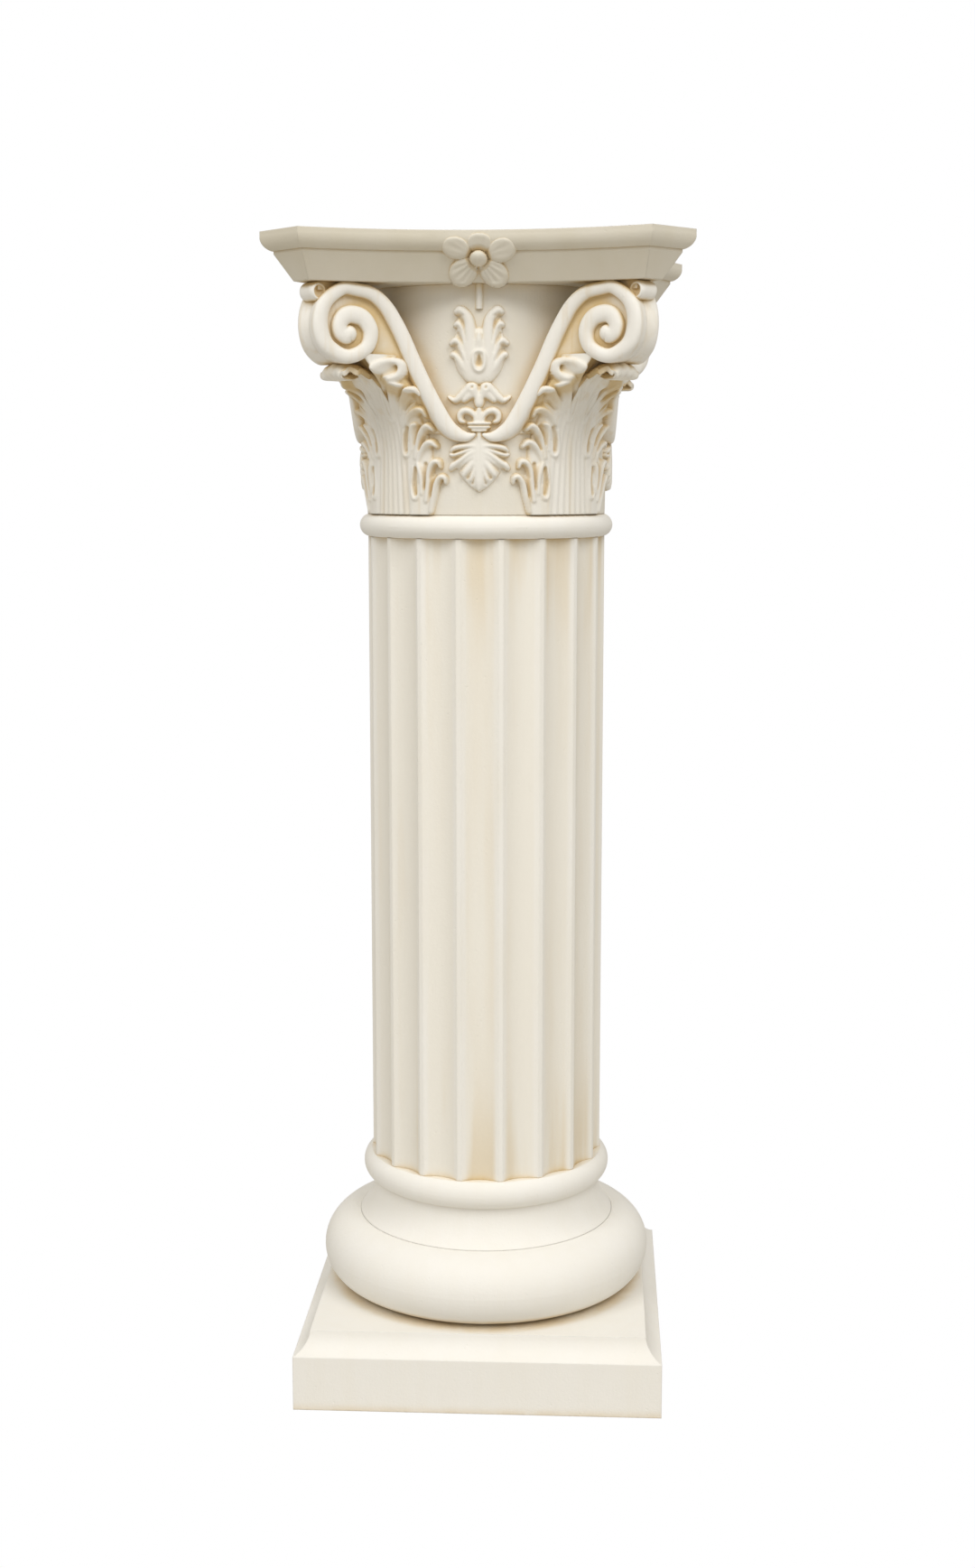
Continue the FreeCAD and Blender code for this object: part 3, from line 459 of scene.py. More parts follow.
def plaster_material(name, wash_amount, stain_and_shade_amount, painted_shade_amount=0.0, wide=1.0, sunk=None, shaft=False):
    """Cast plaster, off-white where it is rubbed, cream where a wash lies, ochre where it gathers, and
    painted shade laid into the colour.

    The eye sees: fine tooth with a few pin-holes, upright brush marks of thin cream, warm ochre
    settled into every recess, partly wash and partly painted shade, and almost white arrises and crests.
    The surface is matt. On the capital a duller tone, painted shade, darkens the colour, and the ochre
    of the recesses gathers over a wide reach; sunk gives the heights between which it comes in over
    the sunk web of a scroll, where it is partly painted shade."""
    look = bpy.context.scene.column_finish
    material = bpy.data.materials.new(name)
    material.use_nodes = True
    tree = material.node_tree
    tree.nodes.clear()
    place = add_node(tree, "TexCoord").outputs["Object"]
    axes = add_node(tree, "SeparateXYZ", {0: place}).outputs

    brush = noise(tree, place, (60.0, 60.0, 5.0), 4.0, 0.6)
    cloud = noise(tree, place, 9.0, 3.0, 0.55)
    patch = math_node(tree, "MULTIPLY", ramp(tree, brush, 0.35, 0.7), 0.6)
    patch = math_node(tree, "ADD", patch, ramp(tree, cloud, 0.35, 0.7, 0.0, 0.5))
    wash = math_node(tree, "MULTIPLY", patch, wash_amount)

    # Ochre laid into recesses by occlusion: partly the gathered wash, partly painted shade where shade
    # falls.
    hollow = add_node(tree, "AmbientOcclusion", {"Distance": look.shade_and_stain_reach * wide}, samples=12)
    recess_shade_and_stain = ramp(tree, hollow.outputs["AO"], 0.92, 0.35)
    broken = noise(tree, place, 55.0, 3.0)
    stain_and_shade = product(tree, recess_shade_and_stain, ramp(tree, broken, 0.25, 0.65, 0.55, 1.0), stain_and_shade_amount)

    if sunk:
        stain_and_shade = math_node(tree, "ADD", stain_and_shade, web_stain_and_shade(tree, place, axes, broken, sunk))
    if shaft:
        # The flute floors are washed cream and the arrises left near white; the cream is partly wash,
        # partly painted shade in the flutes.
        in_flute = ramp(tree, distance(tree, axes[0], axes[1]), *FLUTE_SIDE)
        wash = math_node(tree, "MAXIMUM", wash, math_node(tree, "MULTIPLY", in_flute, 0.55))
        stain_and_shade = math_node(tree, "ADD", stain_and_shade, flute_stain_and_shade(tree, place, axes, in_flute))

    wash = math_node(tree, "MINIMUM", wash, 1.0)
    stain_and_shade = math_node(tree, "MINIMUM", stain_and_shade, 1.0)
    # A duller tone over the whole piece: painted shade, strongest on the capital.
    painted_shade = math_node(tree, "MULTIPLY", ramp(tree, cloud, 0.2, 0.8, 0.8, 1.2), painted_shade_amount)
    colour = mix_colour(tree, wash, linear(look.plaster), linear(look.wash))
    colour = mix_colour(tree, painted_shade, colour, linear(look.painted_shade_tone))
    colour = mix_colour(tree, stain_and_shade, colour, linear(look.stain_and_shade))

    tooth = noise(tree, place, 420.0, 4.0, 0.6)
    marks = math_node(tree, "MULTIPLY", brush, 1.4)
    dents = add_node(tree, "TexVoronoi", {"Vector": place, "Scale": 95.0})
    pits = ramp(tree, dents.outputs["Distance"], 0.0, 0.11, -1.2, 0.0)
    relief = math_node(tree, "ADD", tooth, math_node(tree, "ADD", marks, pits))
    soft = add_node(tree, "Bevel", {"Radius": look.edge_softness}, samples=6).outputs[0]
    bump_inputs = {"Strength": 0.35, "Distance": 0.0005, "Height": relief, "Normal": soft}
    surface = add_node(
        tree,
        "BsdfPrincipled",
        {
            "Base Color": colour,
            "Roughness": ramp(tree, cloud, 0.2, 0.8, 0.62, 0.8),
            "Normal": add_node(tree, "Bump", bump_inputs).outputs[0],
            "Specular IOR Level": 0.3,
        },
    )
    output = add_node(tree, "OutputMaterial")
    tree.links.new(surface.outputs[0], output.inputs[0])
    return material


# ---- turned and moulded castings
class COLUMN_OT_turned(bpy.types.Operator):
    """Finish the plinth, base, shaft, astragal, bell and top plate, which keep their meshes"""

    bl_idname = "column.turned"
    bl_label = "Finish Turned Castings"

    def execute(self, context):
        light = plaster_material("plaster_rubbed_light", 0.25, 0.6)
        # The bell and the top plate get the duller tone, painted shade of the capital, and the bell a
        # wider occlusion reach.
        bell = plaster_material("plaster_washed_painted_shade_bell", 0.6, 0.5, 0.32, 1.3)
        top = plaster_material("plaster_washed_painted_shade_top", 0.6, 0.85, 0.66)
        fluted = plaster_material("plaster_fluted_washed_painted_shade", 0.5, 0.9, shaft=True)
        finish = {"shaft": fluted, "bell": bell, "abacus": top}
        for node in TURNED:
            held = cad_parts[node]
            held.data.materials.clear()
            held.data.materials.append(finish.get(node, light))
        return {"FINISHED"}


# ---- rosettes
PETALS = (  # across, up, half width, half height, turn in degrees, height, depth of the ribs
    (-17.0, 986.4, 12.4, 8.8, -10, 9.0, 0.15),
    (20.0, 984.6, 12.4, 9.6, 14, 9.0, 0.15),
    (2.0, 990.2, 11.2, 7.6, 0, 7.2, 0.1),
    (-11.8, 968.6, 12.6, 10.4, 28, 7.0, 0.5),
    (13.2, 967.8, 12.6, 10.0, -28, 7.0, 0.5),
)
ROSETTE_MIDDLE = (1.0, 978.4)
ROSETTE_LOW, ROSETTE_HIGH = (-34.0, 956.0), (36.0, 999.4)
PETAL_CUP = 0.34  # depth of a petal's cup, as a share of its height
CUP_SPREAD = 0.8
RIBS_ROUND = 24
EYE_DIP, EYE_DIP_RADIUS, EYE_FLOOR = 5.0, 10.5, 1.5
BALL_RADIUS = 7.2
BALL_LIFT = 3.5
BALL_SQUASH = 1.2
ROSETTE_SINK = 3.0
ROSETTE_BACK = 1.5


class COLUMN_OT_rosettes(bpy.types.Operator):
    """Model the five-petalled rosettes on the sides of the top plate"""

    bl_idname = "column.rosettes"
    bl_label = "Model Rosettes"

    def execute(self, context):
        carving = context.scene.column_carving
        across, up = grid(ROSETTE_LOW, ROSETTE_HIGH, carving.grain / MM)
        height = np.zeros_like(across)
        for x, z, half_wide, half_high, turn, high, ribbing in PETALS:
            angle = math.radians(turn)
            along = (across - x) * math.cos(angle) + (up - z) * math.sin(angle)
            beside = -(across - x) * math.sin(angle) + (up - z) * math.cos(angle)
            out = np.hypot(along / half_wide, beside / half_high)
            rim = np.clip(1 - out**2, 0, None) ** 0.48 * high
            cup = np.clip(1 - (out / CUP_SPREAD) ** 2, 0, None) * high * PETAL_CUP
            heading = np.arctan2(up - ROSETTE_MIDDLE[1], across - ROSETTE_MIDDLE[0])
            ribs = ribbing * np.cos(heading * RIBS_ROUND) * np.clip(1 - out**2, 0, 1)
            petal = np.where(rim > 0, rim - cup + ribs, 0)
            height = np.maximum(height, petal)
        away = np.hypot(across - ROSETTE_MIDDLE[0], up - ROSETTE_MIDDLE[1])
        dip = np.clip(1 - (away / EYE_DIP_RADIUS) ** 2, 0, None) * EYE_DIP
        height = np.where(height > 0, np.maximum(height - dip, EYE_FLOOR), 0)
        away = np.hypot(across - ROSETTE_MIDDLE[0], BALL_SQUASH * (up - ROSETTE_MIDDLE[1]))
        ball = BALL_LIFT + np.sqrt(np.clip(BALL_RADIUS**2 - away**2, 0, None))
        height = np.where(away < BALL_RADIUS, np.maximum(height, ball), height)
        solid = height > OUTLINE_HEIGHT
        made = relief_object("rosette", across, up, height, solid, moulding_seat, ROSETTE_SINK)
        close_back(made, ROSETTE_BACK)
        tidy(made)
        # The rosette gets the duller tone as well: painted shade of the top plate's leant side.
        set_round(made, "rosette", SIDES, plaster_material("plaster_rosette", 0.35, 0.9, 0.6))
        return {"FINISHED"}


# ---- hanging sprays on the bell
STALK = [[(0.0, 963.0, 3.3, 4.5), (0.2, 952.0, 3.1, 4.2), (0.0, 940.0, 3.0, 3.6)]]

FLEURON_HALF = [
    [(6.6, 892.3, 6.5, 4.6), (7.8, 905.7, 7, 5.4), (8.0, 919, 6.4, 5.8), (8.7, 930, 5.4, 6),
     (11.2, 936.0, 4.6, 6.6), (15.3, 939.9, 3.6, 7), (18.2, 938.3, 2.8, 6.4)],
    [(9.7, 905.7, 5, 5), (11.2, 917.9, 4, 5.4), (13.4, 925.1, 3.4, 5.8), (16.9, 928.8, 3, 6),
     (19.2, 927.6, 2.2, 5.4)],
    [(9.7, 894.7, 5, 4.8), (12.8, 904.5, 4.4, 5.4), (15.3, 911.8, 3.6, 6),
     (18.7, 915.3, 3.2, 6.6), (22.2, 913.1, 2.6, 6.2)],
    [(8.5, 889.9, 5, 4.4), (13.5, 894.8, 4.2, 4.8), (17.2, 900.9, 3.4, 5.4),
     (20.7, 904, 2.8, 5.6), (22.3, 903.1, 2, 5)],
    [(0, 907.1, 2.4, 7), (3.7, 905.1, 2.2, 7.2), (4.7, 898.4, 2.3, 7.2), (3.2, 892.3, 2.3, 7),
     (0, 890.1, 2.4, 6.8)],
    [(0, 887.4, 9, 4.4), (0, 894.7, 10, 5), (0, 904.4, 8, 5.4), (0, 910.5, 5, 5.8),
     (0, 915.4, 3.6, 6.4), (0.2, 920.8, 2, 6)],
]
FLEURON_BODY_HALF = [
    [(5.0, 888.5, 9.0, 4.6), (8.5, 898, 11.5, 4.8), (10.5, 911, 10.5, 4.6), (11.5, 923, 7.5, 4.4),
     (13.0, 933, 5.2, 4.2)],
    [(0, 900, 10.0, 4.6), (0, 912, 8.0, 4.4), (0, 922, 4.0, 3.6)],
]
FLEURON_CUT = [
    [(0, 903.4, 0.9, 2.6), (0, 899.6, 1.9, 4), (0, 896.5, 2.4, 4.2)],
]
FLEURON_CUT_HALF = [
    [(10.7, 914.2, 0.9, 0.9), (11.6, 922.7, 1.2, 1.8), (13.4, 931.2, 1.5, 2.7),
     (16.2, 934.3, 1.6, 3)],
    [(12.2, 905.7, 0.9, 0.9), (14.1, 914.2, 1.2, 1.8), (17.2, 920.9, 1.6, 3)],
    [(12.8, 898.4, 0.9, 0.9), (16, 905.1, 1.2, 1.9), (19.1, 908.8, 1.5, 2.8)],
    [(12.2, 935.1, 1.2, 1.4), (14.9, 935.6, 1.4, 2.2)],
    [(17.5, 911.6, 1.2, 1.4), (20.2, 910.4, 1.5, 2.3)],
]

HUSK_HALF = [
    [(2.7, 871.5, 6, 5.4), (5, 875.8, 5.8, 6.4), (7.1, 877, 4.6, 6.2), (10.2, 874.6, 4, 5.6),
     (13.4, 871.6, 3.8, 5.4), (16.5, 868.5, 3.4, 5.4), (19.7, 866.5, 2.8, 5.2),
     (23.1, 868, 2.2, 5), (25.1, 869.4, 1.5, 4.4)],
    [(0, 872.7, 5, 5.6), (0, 867.8, 5, 6), (0, 863.9, 4.2, 6.4), (0, 861.7, 2.5, 5)],
    [(7.7, 871.5, 4.5, 5.2), (10, 868.9, 3.6, 5), (12.1, 866.7, 2.6, 4.6)],
]
HUSK_CUT_HALF = [
    [(5.5, 877.6, 1.3, 2.6), (5.5, 876.9, 1.3, 2.6)],
    [(0, 880.1, 1.4, 3), (0, 875.8, 1.2, 2), (0, 871.5, 0.8, 1)],
    [(4.7, 867.9, 1, 3.4), (6.2, 864.9, 1.3, 4)],
]

KNOT_HALF = [
    [(2.5, 848.2, 2.6, 5), (3.4, 853.2, 3, 5.6), (6.5, 857.1, 3.2, 6.2), (11.5, 858.3, 3.3, 6.6),
     (15.5, 855.4, 3.3, 6.4), (15.3, 850.5, 3, 6), (12.5, 849, 2.2, 5)],
    [(0, 848.2, 3, 5.2), (0, 855.6, 3.4, 5.2), (0, 859.9, 2.6, 5)],
]
KNOT_BANDS_HALF = [
    [(8.4, 847.8, 1.9, 6.6), (0, 847.7, 2.0, 7)],
    [(8, 844.6, 1.9, 6.4), (0, 844.6, 2.0, 6.8)],
    [(5.5, 841.9, 1.8, 5.6), (0, 841.6, 1.9, 6)],
]
KNOT_CUT_HALF = [
    [(5.9, 852.5, 1.2, 2.2), (7.8, 850.5, 1.6, 3.2), (10, 851.3, 1.5, 2.8)],
]

DROP_HALF = [
    [(0, 839.4, 3.4, 4.8), (0, 834.0, 3.4, 4.8), (0, 828.6, 4.6, 5.2), (0, 818.7, 6, 5.8),
     (0, 808.8, 6, 6), (0, 800.1, 4.6, 6), (0, 794, 2.6, 5.2)],
    [(1.9, 828.6, 3.2, 5), (7.5, 829.2, 3.2, 5.4), (13.8, 828.8, 3.2, 5.8),
     (19.5, 827.6, 2.8, 6), (22.5, 825.5, 2, 5.2)],
    [(6.3, 826.7, 2.6, 4.8), (15.1, 823.6, 2.6, 5.2), (21.4, 821.8, 2.2, 5.4),
     (23.7, 822.2, 1.6, 4.8)],
    [(1.9, 824.9, 3.6, 5.2), (8.8, 822.4, 3.6, 5.6), (15.7, 817.5, 3.6, 6),
     (21.2, 813.2, 3.2, 6.4), (23.5, 810.6, 2.2, 5.6)],
    [(2.3, 818.7, 3.8, 5.2), (6.9, 813.1, 3.8, 5.6), (10.7, 808.2, 3.4, 5.8),
     (12.6, 805.1, 2.4, 5.4)],
    [(1.9, 812.5, 3.6, 5.2), (4.1, 805.7, 3.4, 5.6), (6.3, 801.4, 2.6, 5.4)],
    [(0, 829.0, 12, 4.8), (0, 819.5, 20, 5.3), (0, 809.4, 15, 5.4), (0, 801, 8.5, 5.0)],
]
DROP_CUT_HALF = [
    [(6.3, 827.9, 0.7, 0.8), (15.1, 825.9, 1, 1.8), (20.8, 823.9, 1.1, 2.4)],
    [(7.5, 824.9, 0.7, 0.8), (14.5, 820.9, 1.3, 2.3), (20.8, 817.2, 1.6, 3)],
    [(5.6, 818.1, 0.7, 0.8), (12.6, 812.5, 1.2, 2.2), (17.7, 808.2, 1.5, 2.8)],
    [(4.4, 812.5, 0.7, 0.8), (6.9, 807.6, 1, 1.8), (9.4, 803.2, 1.3, 2.6)],
    [(3.3, 807.6, 0.7, 0.8), (4.3, 802.6, 1, 1.6), (5.5, 798.3, 1.2, 2.2)],
    [(0, 832.3, 0.6, 0.6), (0, 816.2, 0.8, 0.7), (0, 801.4, 0.6, 0.5)],
]

SPRAY_PIECES = {  # strokes raised, strokes cut, then the corners of the grid
    "stalk": (STALK, [], (-5, 940.5), (5, 960.9)),
    "fleuron": (
        both_hands(FLEURON_HALF + FLEURON_BODY_HALF),
        FLEURON_CUT + both_hands(FLEURON_CUT_HALF),
        (-26, 878.4),
        (26, 944),
    ),
    "husk": (both_hands(HUSK_HALF), both_hands(HUSK_CUT_HALF), (-27, 858), (27, 883.6)),
    "scroll_knot": (
        both_hands(KNOT_HALF + KNOT_BANDS_HALF),
        both_hands(KNOT_CUT_HALF),
        (-20, 839.8),
        (20, 863),
    ),
    "drop_leaf": (both_hands(DROP_HALF), both_hands(DROP_CUT_HALF), (-27, 789), (27, 842.5)),
}


class COLUMN_OT_sprays(bpy.types.Operator):
    """Model the stalk, fleuron, husk, scroll knot and drop leaf on each side of the bell"""

    bl_idname = "column.sprays"
    bl_label = "Model Hanging Sprays"

    def execute(self, context):
        carving = context.scene.column_carving
        # The ochre laid round the sprays by occlusion is partly painted shade; the small duller tone is
        # painted shade.
        material = plaster_material("plaster_bell_ornament", 0.35, 0.95, 0.15)
        for stem, (raised, cut, low, high) in SPRAY_PIECES.items():
            across, up = grid(low, high, carving.grain / MM)
            height, solid = carve(across, up, raised, cut)
            made = relief_object(stem, across, up, height, solid, bell_seat, carving.sink / MM)
            close_back(made, RELIEF_BACK)
            tidy(made)
            set_round(made, stem, SIDES, material)
        return {"FINISHED"}


# ---- volutes
EYE_X = -104.0
EYE_Z = 921.3
FACE_MIDDLE = 113.0
FACE_RADIUS = 257.0
FACE_AXIS = -(FACE_MIDDLE + FACE_RADIUS)
FACE_TURN = math.asin(-EYE_X / FACE_RADIUS)
EYE = np.array([EYE_X, FACE_AXIS + FACE_RADIUS * math.cos(FACE_TURN)])
SIDEWAYS = np.array([math.cos(FACE_TURN), math.sin(FACE_TURN)])
FACING = np.array([math.sin(FACE_TURN), -math.cos(FACE_TURN)])
STEM_LINE = (  # across and up on the face, half the band's width
    (-2.6, 838.9, 1.4), (-5.6, 837.6, 3.0), (-10.2, 837.0, 4.5), (-17.0, 839.3, 5.6),
    (-24.3, 845.3, 6.1), (-31.5, 856.0, 6.3), (-38.7, 869.1, 6.3), (-45.8, 883.4, 6.3),
    (-52.9, 898.8, 6.3), (-59.9, 915.2, 6.3), (-66.9, 929.4, 6.2), (-75.0, 942.6, 6.0),
    (-85.4, 951.8, 5.7), (-99.2, 955.3, 5.4),
)
SPIRAL = (  # heading about the eye in degrees, radius of the band's middle, half its width
    (98, 34.4, 5.4), (125, 30.6, 6.0), (150, 27.0, 6.6), (180, 23.6, 7.0), (215, 21.4, 6.6),
    (266, 20.0, 5.9), (318, 19.6, 6.1), (360, 18.8, 6.6), (400, 16.6, 7.2), (440, 14.0, 7.4),
    (470, 12.0, 7.2), (505, 9.2, 6.8), (545, 6.4, 6.8), (590, 4.2, 7.0), (630, 2.6, 7.0),
)
EYE_BALL = (0.7, -1.8, 7.3)  # right and up of the eye, radius
BALL_SINK = 0.4
CORE_REACH = 98.0
BAND_RISE = 4.4  # how far the band's round top stands over its sides
LEAST_BACK = 4.0
OVER_ITSELF = 330  # degrees after which the band winds round inside its own first turn
CROWN = [math.radians(angle) for angle in range(180, -1, -15)]
PLUG_TURN = 176  # degrees round to which the spiral's outside edges the plug
PLUG_LOW, PLUG_RIGHT = -24.0, 60.0
PLUG_LAP = 0.6
PLUG_LEAST = 2.0


def scroll_path():
    """The middle of the band, from the stem's foot to the eye: right, up and half its width."""
    rows = []
    for across, high, half in STEM_LINE:
        place = np.array([across, FACE_AXIS + math.sqrt(FACE_RADIUS**2 - across**2)])
        rows.append(((place - EYE) @ SIDEWAYS, high - EYE_Z, half))
    for heading, radius, half in SPIRAL:
        angle = math.radians(heading)
        rows.append((radius * math.cos(angle), radius * math.sin(angle), half))
    return smooth_track(rows, 7)


def on_plane(right, forward):
    """Plan position of a point of the eye's plane, so far in front of it."""
    return EYE + np.multiply.outer(right, SIDEWAYS) + np.multiply.outer(forward, FACING)


def face_forward(right):
    """How far in front of the eye's plane the hollow face lies, which bows away from the viewer."""
    plan = on_plane(right, 0.0) - np.array([0.0, FACE_AXIS])
    along = plan @ FACING
    root = np.sqrt(np.maximum(along**2 - np.sum(plan**2, axis=-1) + FACE_RADIUS**2, 0))
    return -along - root


def back_depth(right, forward, limit=96.0):
    """How far back from a face point it is to the diagonal, or to inside the bell."""
    steps = np.linspace(0, limit, 193)
    depth = np.full(np.shape(right), limit)
    for step in steps[::-1]:
        plan = on_plane(right, forward - step)
        over = (plan[..., 1] >= plan[..., 0]) | (np.hypot(plan[..., 0], plan[..., 1]) < CORE_REACH)
        depth = np.where(over, step, depth)
    return depth


def scroll_shell(name, rows, profile):
    """A closed tube of sections; profile gives their points, beside the path and back from the face."""
    left = path_sides(rows)
    points, count = [], 0
    for index, half in enumerate(rows[:, 2]):
        section = profile(index, half)
        count = len(section)
        for beside, back in section:
            spot = rows[index, :2] + left[index] * beside
            forward = face_forward(np.array(spot[0])) - back
            plan = on_plane(np.array(spot[0]), forward)
            points.append((plan[0], plan[1], EYE_Z + spot[1]))
    faces = []
    for row in range(len(rows) - 1):
        for column in range(count):
            after = (column + 1) % count
            first, second = row * count, (row + 1) * count
            faces.append((first + column, second + column, second + after, first + after))
    faces.append(tuple(range(count)))
    faces.append(tuple(reversed(range((len(rows) - 1) * count, len(rows) * count))))
    return mesh_object(name, points, faces)


class COLUMN_OT_volutes(bpy.types.Operator):
    """Sweep the scrolled volutes and their stems at the corners of the capital"""

    bl_idname = "column.volutes"
    bl_label = "Model Volutes"

    def execute(self, context):
        carving = context.scene.column_carving
        groove = carving.groove_depth / MM
        rows = scroll_path()
        heading = np.unwrap(np.arctan2(rows[:, 1], rows[:, 0]))
        in_spiral = np.arange(len(rows)) > np.argmax(rows[:, 1])
        left = path_sides(rows)
        turned = np.degrees(heading - heading[np.argmax(rows[:, 1])])

        def deep(index, beside):
            spot = rows[index, :2] + left[index] * beside
            right = np.array(spot[0])
            return float(back_depth(right, face_forward(right)))

        def profile(index, half):
            over_itself = in_spiral[index] and turned[index] > OVER_ITSELF
            outer_back = groove if over_itself else max(deep(index, -half), LEAST_BACK)
            inner_back = groove if in_spiral[index] else max(deep(index, half), LEAST_BACK)
            if outer_back > groove + 1:
                halfway = outer_back / 2
            else:
                halfway = (outer_back + BAND_RISE) / 2
            section = [(-half, outer_back), (-half, halfway)]
            section += [(half * math.cos(a), BAND_RISE - BAND_RISE * math.sin(a)) for a in CROWN]
            section += [(half, (inner_back + BAND_RISE) / 2), (half, inner_back)]
            return section

        band = scroll_shell("volute_band", rows, profile)
        right, high, radius = EYE_BALL
        forward = float(face_forward(np.array(right))) - radius + BALL_SINK
        plan = on_plane(np.array(right), forward)
        middle = (plan[0] * MM, plan[1] * MM, (EYE_Z + high) * MM)
        size = radius * MM
        bpy.ops.mesh.primitive_uv_sphere_add(segments=40, ring_count=24, radius=size, location=middle)
        ball = context.object

        # The floor of the groove: a plug behind the band, out to the stem, back to the diagonal.
        top = int(np.argmax(rows[:, 1]))
        lowest = int(np.argmin(np.abs(turned - PLUG_TURN) + np.where(in_spiral, 0, 1e3)))
        rim = [rows[i, :2] for i in range(top, lowest + 1)]
        stem = [rows[i, :2] for i in range(top) if rows[i, 1] > PLUG_LOW and rows[i, 0] < PLUG_RIGHT]
        outline = np.array(rim + stem)
        forward = np.array([face_forward(np.array(p[0])) for p in outline]) - (groove - PLUG_LAP)
        back = np.array([back_depth(np.array(p[0]), np.array(f)) for p, f in zip(outline, forward)])
        points = []
        for spot, near, far in zip(outline, forward, np.maximum(back, PLUG_LEAST)):
            for place in (near, near - far):
                plan = on_plane(np.array(spot[0]), place)
                points.append((plan[0], plan[1], EYE_Z + spot[1]))
        count = len(outline)
        faces = [
            (2 * i, 2 * i + 1, 2 * ((i + 1) % count) + 1, 2 * ((i + 1) % count)) for i in range(count)
        ]
        middle = outline.mean(axis=0)
        for place in (0, 1):
            depth = forward.mean() if place == 0 else (forward - back).mean()
            plan = on_plane(np.array(middle[0]), depth)
            points.append((plan[0], plan[1], EYE_Z + middle[1]))
            hub = len(points) - 1
            for i in range(count):
                pair = (2 * i + place, 2 * ((i + 1) % count) + place)
                faces.append((hub, *pair) if place == 0 else (hub, *reversed(pair)))
        plug = mesh_object("volute_plug", points, faces)
        half = join([band, plug, ball], "volute_half")
        tidy(half)
        other = half.copy()
        other.data = half.data.copy()
        context.scene.collection.objects.link(other)
        swap = Matrix(((0, 1, 0, 0), (1, 0, 0, 0), (0, 0, 1, 0), (0, 0, 0, 1)))
        other.data.transform(swap)
        other.data.flip_normals()
        whole = join([half, other], "volute")
        bpy.ops.object.shade_smooth_by_angle(angle=SCROLL_SMOOTH_ANGLE)
        # The volute's ochre in its grooves and on its sunk web is partly painted shade; the small duller
        # tone is painted shade.
        material = plaster_material("plaster_volute", 0.3, 1.0, 0.05, 1.8, sunk=(0.84, 0.88))
        set_round(whole, "volute", CORNERS, material)
        return {"FINISHED"}


# ---- acanthus leaves
LEAF_FRINGE = [  # across from the diagonal, up, half width, height over the ground
    [(5.6, 854, 2.2, 3.6), (5.4, 864, 2.7, 4.4), (8.6, 874, 3.0, 5.0), (13.4, 883, 3.0, 5.4),
     (18.6, 891, 3.2, 6.2), (24.0, 897, 3.4, 7.0), (28.6, 898, 3.2, 7.0), (31.6, 894.6, 3.0, 6.4),
     (30.6, 888, 2.8, 5.8), (25.4, 883, 2.6, 5.0), (20.2, 880, 2.4, 4.4)],
    [(9.8, 852, 2.6, 4.0), (13.5, 866, 3.0, 5.0), (18.5, 875.2, 3.2, 6.0), (24.0, 879.4, 3.2, 6.8),
     (29.0, 877.8, 2.8, 6.2)],
    [(19.0, 856, 2.8, 4.4), (25.0, 867, 3.2, 5.4), (32.0, 873.6, 3.4, 6.6), (37.4, 875.4, 3.2, 7.2),
     (40.6, 871.6, 2.6, 6.2)],
    [(20.5, 846, 2.8, 4.4), (27.0, 854, 3.2, 5.4), (34.5, 858.4, 3.4, 6.6), (40.0, 858.6, 3.0, 7.0),
     (41.8, 854.4, 2.4, 5.6)],
    [(5.6, 857, 2.2, 3.8), (6.4, 850.8, 2.3, 4.0), (9.4, 850.2, 2.3, 4.0), (11.0, 856, 2.4, 3.8)],
    [(17.8, 842, 2.3, 4.0), (15.6, 829, 2.4, 4.6), (17.2, 821.8, 2.5, 5.0), (21.8, 822.6, 2.4, 4.8),
     (22.8, 832, 2.4, 4.4)],
    [(25.0, 826, 2.6, 4.4), (26.0, 838, 3.0, 5.4), (28.4, 845.4, 3.0, 6.6), (32.0, 847.4, 2.4, 6.0)],
    [(28.0, 820, 2.8, 4.8), (32.4, 834, 3.2, 5.8), (37.0, 841.4, 3.4, 6.8), (42.2, 845.8, 3.2, 7.4),
     (45.8, 843.2, 2.4, 6.0)],
    [(29.0, 812, 2.8, 4.8), (33.6, 823, 3.2, 5.8), (38.4, 829.4, 3.4, 6.8), (44.2, 832.4, 3.2, 7.4),
     (48.4, 829.2, 2.4, 5.8)],
    [(25.6, 812, 2.3, 4.0), (23.8, 796, 2.4, 4.6), (25.4, 786.6, 2.6, 5.0), (30.0, 786.8, 2.5, 4.8),
     (31.2, 796, 2.4, 4.4)],
    [(34.0, 790, 2.6, 4.6), (34.0, 802, 3.0, 5.6), (32.6, 810.5, 3.0, 6.6), (31.0, 815.4, 2.2, 6.0)],
    [(38.0, 784, 2.8, 4.8), (40.4, 798, 3.2, 5.8), (41.8, 808.6, 3.3, 6.8), (45.2, 815.4, 3.2, 7.4),
     (50.0, 816.4, 2.8, 7.0), (51.6, 812.0, 2.0, 5.6)],
    [(42.0, 775, 2.8, 4.4), (45.4, 789, 3.2, 5.8), (48.0, 798.4, 3.2, 6.8), (52.0, 803.8, 3.0, 7.2),
     (55.8, 803.0, 2.4, 6.4), (56.0, 799.0, 1.8, 5.0)],
]
